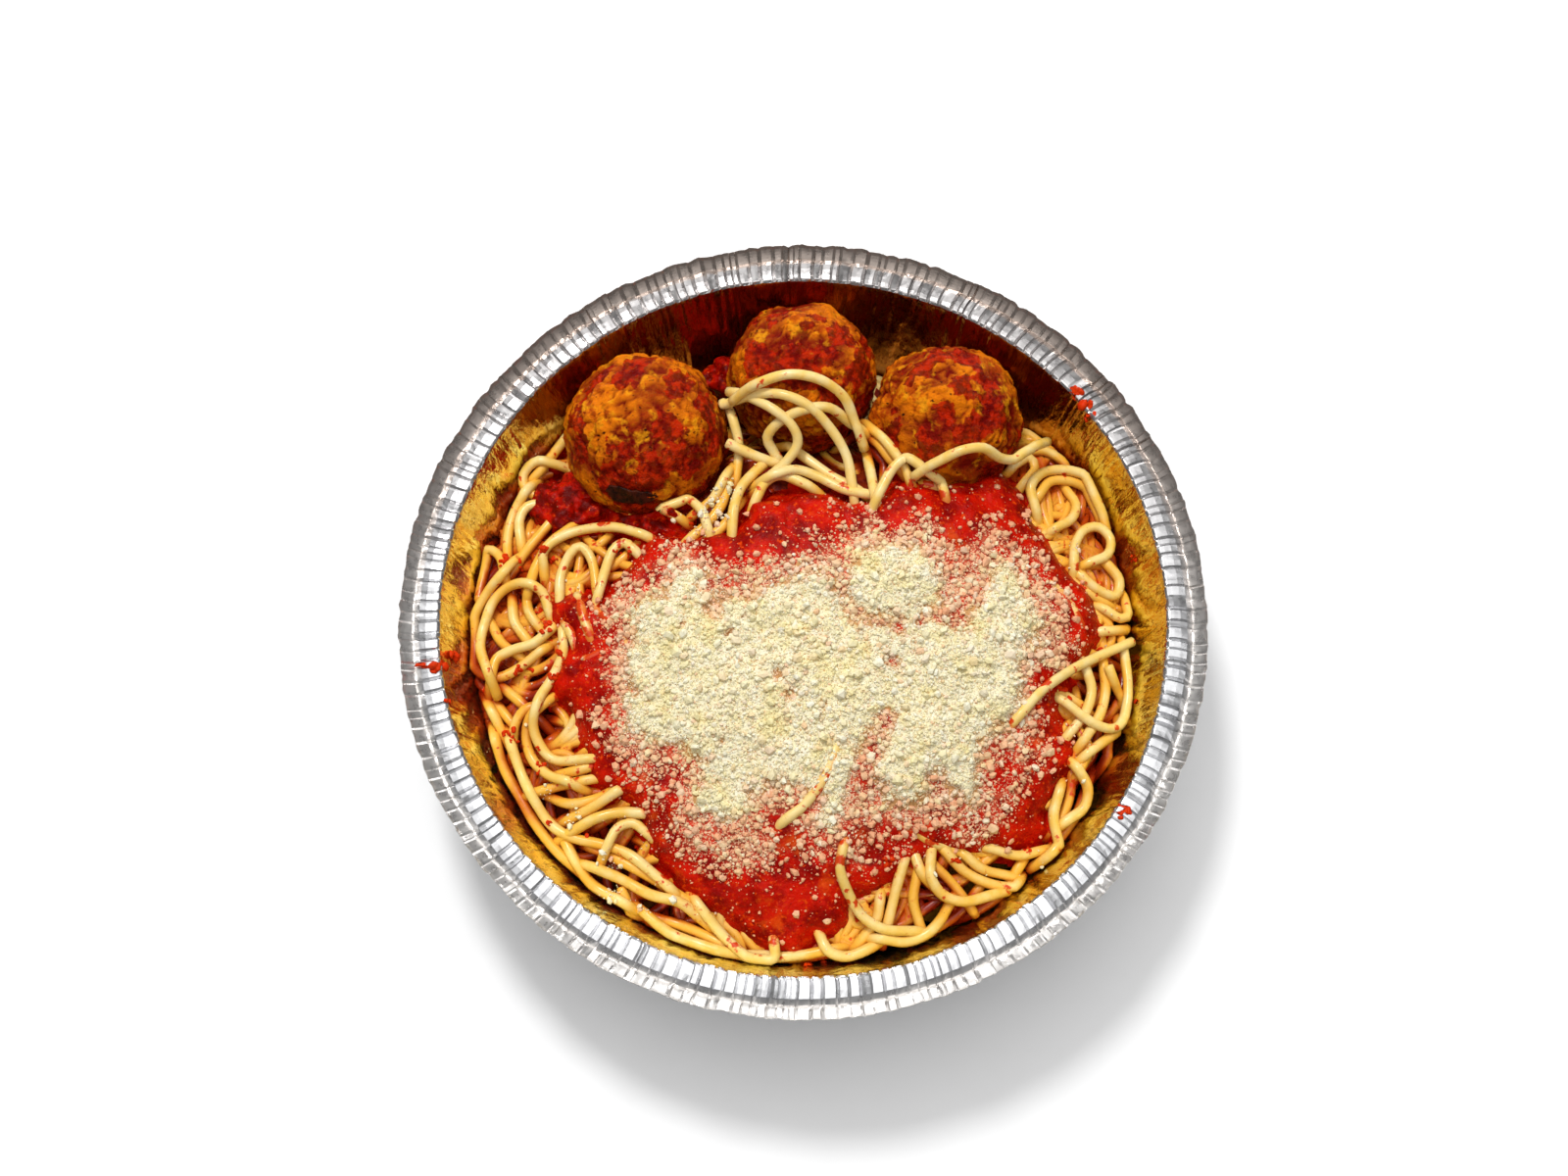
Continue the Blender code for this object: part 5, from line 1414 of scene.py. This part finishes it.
def oil_and_reflection(look, place):
    """The golden film of oil with painted reflection: lighter on the left, browner behind the meatballs
    as a painted reflection of them, with broken dark wrinkles.
    """
    # Painted reflection: the wall is lighter and yellower on the left than on the right
    side = look.span(place["X"], -70.0 * MM, 60.0 * MM)
    pale = look.blend(side, FOIL["pale_oil_and_reflection_left"], FOIL["pale_oil_and_reflection_right"])
    deep = look.blend(side, FOIL["deep_oil_and_reflection_left"], FOIL["deep_oil_and_reflection_right"])
    colour = look.patched(pale, deep, 5.0, 0.4, 0.65, 1.0, 3.0, 0.6, (1.0, 1.0, 0.3))
    # Painted reflection of the meatballs: browner behind them
    back = look.span(place["Y"], 40.0 * MM, 58.0 * MM, 0.0, 0.85)
    colour = look.blend(back, colour, FOIL["reflected_brown"])
    # Painted shade: broken dark lines along the wrinkles
    contour = look.math("SUBTRACT", look.noise(4.5, 3.0, 0.6, (1.0, 1.0, 0.45)), 0.5)
    line = look.span(look.math("ABSOLUTE", contour), 0.0, 0.022, 0.75, 0.0)
    broken = look.math("MULTIPLY", line, look.span(look.noise(6.0), 0.42, 0.56))
    return look.blend(broken, colour, FOIL["wrinkle_shade"])


def where_oil_and_reflection(look, place):
    """1 on the inner side of the wall below the rim, and 0 elsewhere."""
    below = look.span(place["Z"], 41.8 * MM, 39.5 * MM)
    facing = look.node("ShaderNodeNewGeometry").outputs["Normal"]
    level = look.node("ShaderNodeVectorMath", {0: look.place, 1: (1.0, 1.0, 0.0)},
                      operation="MULTIPLY").outputs[0]
    outward = look.node("ShaderNodeVectorMath", {0: level, 1: facing},
                        operation="DOT_PRODUCT").outputs["Value"]
    inner = look.math("LESS_THAN", outward, 0.0)
    return look.math("MULTIPLY", look.math("MULTIPLY", below, inner), look.fact("inside"))


def foil_relief(look):
    """Fine creases and broad waves, with upright wrinkles down the inner wall."""
    inside = look.fact("inside")
    fine = look.span(inside, 0.0, 1.0, 0.06, 0.16)
    creased = look.bump(look.noise(1.8, 2.0, 0.6, (1.0, 1.0, 0.6)), fine, 0.5)
    upright = look.math("MULTIPLY", look.noise(1.3, 2.0, 0.6, (1.0, 1.0, 0.22)), inside)
    creased = look.bump(upright, 0.6, 0.5, creased)
    wavy = look.span(inside, 0.0, 1.0, 0.03, 0.3)
    return look.bump(look.noise(6.0, 1.0, 0.4, (1.0, 1.0, 0.7)), wavy, 1.6, creased)


def foil_look():
    """Bright aluminium foil with painted light and reflection, and a film of oil with painted
    reflection on the inner wall.
    """
    look = Look("aluminium_foil", {"Metallic": 1.0})
    place = look.node("ShaderNodeSeparateXYZ", {"Vector": look.place}).outputs
    colour = look.blend(where_oil_and_reflection(look, place), bare_foil(look, place), oil_and_reflection(look, place))
    smoother = look.math("MULTIPLY", look.fact("inside"), 0.11)
    rough = look.math("SUBTRACT", look.uneven(1.5, 0.25, 0.37, 4.0), smoother)
    return look.finish(base_color=colour, roughness=rough, normal=foil_relief(look))


def floor_look():
    """A plain pale floor."""
    look = Look("pale_floor")
    colour = look.blend(look.noise(40.0), FLOOR["grey"], FLOOR["white"])
    return look.finish(base_color=colour, roughness=look.uneven(15.0, 0.6, 0.7))


def make_pan(draw):
    """The foil pan."""
    pan = dress("foil_pan_shell", pan_mesh(draw), foil_look(), "foil", "foil_pan")
    solid = pan.modifiers.new("foil", "SOLIDIFY")
    solid.thickness = FOIL_THICKNESS * MM
    solid.offset = -1.0


def heap_core():
    """Height of the core below the noodles, and how far each cell is outside the heap's border."""
    under = np.where(SAUCE_REACH < UNDER_SAUCE, CORE_DROP, BED_DROP)
    border = np.hypot(GRID_X, GRID_Y) - heap_border(GRID_BEARING)
    core = HEAP - blurred(under, 6) - SIDE_SLOPE * np.maximum(border, 0.0)
    return np.maximum(core + 0.5 * grid_grain(4.0, 40.0), 1.0), border


def shown_paths(pile, over_sauce):
    """Paths of the noodles that the photo shows and that lie over the sauce, or of the others."""
    paths = []
    for name, (lift, pixels) in sorted(SHOWN_NOODLES.items(), key=lambda item: item[1][0]):
        if (name in OVER_SAUCE) == over_sauce:
            paths.append(laid_from_photo(pile, name, lift, pixels))
    return paths


def sunk_paths(pile):
    """Paths of the noodles that show through the sauce and the cheese."""
    for sunk, pixels in SUNK_NOODLES.values():
        points = on_heap(spline(pixels, NOODLE_STEP / PIXEL_SIZE), SUNK_RISE)
        points[:, 2] = blurred_along(sampled(pile.top, points)) - sunk
        yield tucked(points)


def make_heap(draw):
    """Noodles over a core painted dark as sauce and shade; returns the heights of the noodles and of
    the sauce over them.
    """
    core, border = heap_core()
    mask = np.hypot(GRID_X, GRID_Y) < wall_radius(core) - WALL_GAP
    pile = Pile(core)
    bed = list(bed_paths(pile, draw))
    shown = shown_paths(pile, over_sauce=False)
    sauce = sauce_field(pile)
    poured = Pile(np.maximum(pile.top, sauce))
    shown += shown_paths(poured, over_sauce=True)
    shown += sunk_paths(poured)
    shown += [arched(poured, name, spots) for name, spots in ARCH_NOODLES.items()]
    facts = {"edge": smooth(-3.0, 1.0, border) * smooth(44.0, 30.0, GRID_Y)}
    inside = grid_mesh(core, mask, facts, CORE_STRIDE)
    core_piece = dress("heap_inside", inside, core_look(), "pasta")
    pasta = pasta_look()
    highest = local_top(pile)
    for name, paths, sides in (("noodles_below", bed, BED_SIDES),
                               ("noodles_shown", shown, NOODLE_SIDES)):
        mesh = noodle_mesh(paths, sides, highest, sauce, draw)
        dress(name, mesh, pasta, "pasta", "spaghetti_heap")
    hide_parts("spaghetti_heap")
    return pile.top, sauce


def make_sauce(surface):
    """The sauce over the heap, and the spoonfuls by the meatballs."""
    look = sauce_look()
    mask = (SAUCE_REACH < 3.0) | (POCKET_REACH < 2.0)
    mask &= np.hypot(GRID_X, GRID_Y) < wall_radius(surface) - WALL_GAP
    # The dark fact: painted shadow of the left meatball on the sauce round its front
    facts = {"dark": smooth(2.0, -1.0, POCKET_REACH), "powder": cheese_density()[0]}
    pool = grid_mesh(surface, mask, facts)
    dress("tomato_sauce_pool", pool, look, "sauce", "tomato_sauce")
    for name in CLUMPS:
        dress(f"{name}_fresh", clump_mesh(name), look, "sauce", name)


def on_foil(pixel):
    """The point of the pan's inner side that the photo shows at a pixel, or none."""
    profile = pan_rows()[::-1]
    heights = np.arange(LIP_HEIGHT + 1.0, CORNER_HEIGHT, -0.1)
    points = from_photo(np.repeat([pixel], len(heights), axis=0).astype(float), heights)
    reach = np.hypot(points[:, 0], points[:, 1])
    met = np.interp(reach, profile[:, 0], profile[:, 1]) >= heights
    spot = points[np.argmax(met)]
    return spot if met.any() and np.hypot(*spot[:2]) < LIP_RADIUS - 1.0 else None


def held_in(points):
    """Points of spots on the foil, pressed back to the pan's inner side."""
    points = points.copy()
    profile = pan_rows()[::-1]
    reach = np.hypot(points[:, 0], points[:, 1])
    wall = points[:, 2] < RIM_HEIGHT - 0.4
    limit = wall_radius(points[:, 2]) - 0.3
    scale = np.where(wall, np.minimum(1.0, limit / reach), 1.0)
    points[:, :2] *= scale[:, None]
    lowest = np.interp(reach, profile[:, 0], profile[:, 1]) + 0.25
    points[:, 2] = np.where(wall, points[:, 2], np.maximum(points[:, 2], lowest))
    return points


def bits_on_food(laid, draw):
    """Places and sizes of the bits of tomato on the noodles."""
    for pixel, size in TOMATO_BITS:
        for _ in range(CRUMBS_PER_BIT):
            spot = on_heap([pixel], 3.0)[0] + [*draw.normal(0.0, 0.5 * size, 2), 0.0]
            spot[2] = sampled(laid, spot[None])[0] + 0.1 * size
            yield spot, size * draw.uniform(0.35, 0.75)


def spots_on_foil(draw):
    """Places and sizes of the dried spots of sauce on the foil."""
    for pixel, size in FOIL_SPOTS:
        for _ in range(DROPS_PER_SPOT):
            spot = on_foil(pixel + draw.normal(0.0, 2.6 * size, 2))
            reach = size * draw.uniform(0.6, 1.1)
            if spot is not None:
                yield spot + [0.0, 0.0, 0.2 * reach], reach


def make_bits(laid, draw):
    """Bits of tomato on the noodles, and dried spots of sauce on the foil."""
    bits, sizes = zip(*bits_on_food(laid, draw), *spots_on_foil(draw))
    facts = {"smear": np.full(len(bits), BIT_SMEAR)}
    points, faces, facts = tumbled(draw, solid_shape(2), np.array(bits), np.array(sizes), 0.0,
                                   0.45, facts)
    points += np.stack([grain(points + level, 0.8) for level in (0.0, 9.0, 18.0)], axis=1) * 0.35
    dress("tomato_bits", numpy_mesh(held_in(points), faces, facts), sauce_look(), "sauce")


def loose_cheese(laid):
    """How much cheese lies loose on the noodles."""
    loose = 0.012 * smooth(9.0, 1.0, SAUCE_REACH) * (GRID_Y < 30.0)
    for pixel, reach in LOOSE_CHEESE:
        x, y, _ = on_heap([pixel], 4.0)[0]
        loose = loose + 0.5 * np.exp(-((GRID_X - x) ** 2 + (GRID_Y - y) ** 2) / reach ** 2)
    return loose * (laid > HEAP - 0.5)


def make_bed_of_cheese(surface, density, mounds):
    """The bumpy bed where the cheese lies thick; returns its height."""
    crumbly = 0.20 * grid_grain(2.2, 31.0) + 0.10 * grid_grain(0.9, 33.0)
    bed = surface + 2.4 * (density - 0.62) + 0.9 * mounds * density + crumbly
    bed = np.minimum(bed, surface + 0.9 + 1.4 * mounds + crumbly)
    mask = (bed > surface - 1.0) & (density > CHEESE_COVER)
    facts = {"tone": 0.5 + 0.5 * grid_grain(1.2, 35.0), "soak": smooth(1.0, 0.45, density)}
    look = cheese_look("grated_cheese", lumpy=True)
    dress("cheese_bed", grid_mesh(bed, mask, facts), look, "cheese", "grated_cheese")
    return bed


def make_cheese(surface, laid, draw):
    """The cheese: its bed, and crumbs of four sizes."""
    density, mounds = cheese_density()
    bed = make_bed_of_cheese(surface, density, mounds)
    top = np.maximum(np.maximum(surface, bed), laid)
    look = cheese_look("cheese_crumb", lumpy=False)
    fringe = np.minimum(density, 1.0 - density) + 0.02 * smooth(1.0, -3.0, SAUCE_REACH)
    loose = loose_cheese(laid)
    for name, faceted, thick, thin, fallen, count, sizes in CHEESE_KINDS:
        weight = np.maximum(thick * density ** 2 + thin * fringe + fallen * loose, 0.0)
        shape = solid_shape(1) if faceted else OCTAHEDRON
        mesh = crumb_mesh(draw, shape, top, weight, count, sizes, density)
        dress(name, mesh, look, "cheese")


def make_camera():
    """The camera at the photo's viewing angle."""
    data = bpy.data.cameras.new("camera")
    data.sensor_width = SENSOR_WIDTH
    data.lens = FOCAL_PIXELS * SENSOR_WIDTH / PHOTO_SIZE[0]
    data.clip_end = 20.0
    camera = bpy.data.objects.new("camera", data)
    bpy.context.scene.collection.objects.link(camera)
    axes = Matrix((RIGHT, UP, -FORWARD)).transposed()
    camera.matrix_world = Matrix.Translation(Vector(EYE * MM)) @ axes.to_4x4()
    bpy.context.scene.camera = camera


def area_light(name, place, size, power):
    """A soft round light that faces the food."""
    data = bpy.data.lights.new(name, "AREA")
    data.shape = "DISK"
    data.size = size
    data.energy = power
    light = bpy.data.objects.new(name, data)
    bpy.context.scene.collection.objects.link(light)
    light.location = place
    way = Vector(LIGHTS_AIM) - Vector(place)
    light.rotation_euler = way.to_track_quat("-Z", "Y").to_euler()


def make_floor():
    """A plain pale floor."""
    half = FLOOR_HALF
    corners = np.array([(-half, -half, 0), (half, -half, 0), (half, half, 0), (-half, half, 0)])
    mesh = numpy_mesh(corners, np.array([[0, 1, 2, 3]]))
    mesh.name = "floor"
    mesh.materials.append(floor_look())
    floor = bpy.data.objects.new("floor", mesh)
    bpy.context.scene.collection.objects.link(floor)
    floor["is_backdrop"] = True


def make_studio():
    """The floor, soft lights and an even surround."""
    world = bpy.data.worlds.new("studio")
    bpy.context.scene.world = world
    world.use_nodes = True
    surround = world.node_tree.nodes["Background"].inputs
    surround["Color"].default_value = (1.0, 1.0, 1.0, 1.0)
    surround["Strength"].default_value = SURROUND_STRENGTH
    for name, (place, size, power) in LIGHTS.items():
        area_light(name, place, size, power)
    make_floor()
    bpy.context.scene.view_settings.view_transform = "Standard"


def write_sizes():
    """Work out the frame's box and the dressed part's box."""
    boxes = {"cad": CAD_BOX, "visual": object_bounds()}
    lists = {key: [list(corner) for corner in box] for key, box in boxes.items()}


def main():
    make_camera()
    make_studio()
    make_pan(np.random.default_rng(SEEDS["pan"]))
    laid, surface = make_heap(np.random.default_rng(SEEDS["heap"]))
    make_sauce(surface)
    make_cheese(surface, laid, np.random.default_rng(SEEDS["cheese"]))
    make_bits(np.maximum(laid, surface), np.random.default_rng(SEEDS["bits"]))
    meat = meat_look()
    for name in MEATBALLS:
        dress(f"{name}_browned", meatball_mesh(name), meat, "meat", name)
    dress("cooked_leaf", leaf_mesh(), leaf_look(), "leaf", "dark_leaf_fragment")


main()
write_sizes()
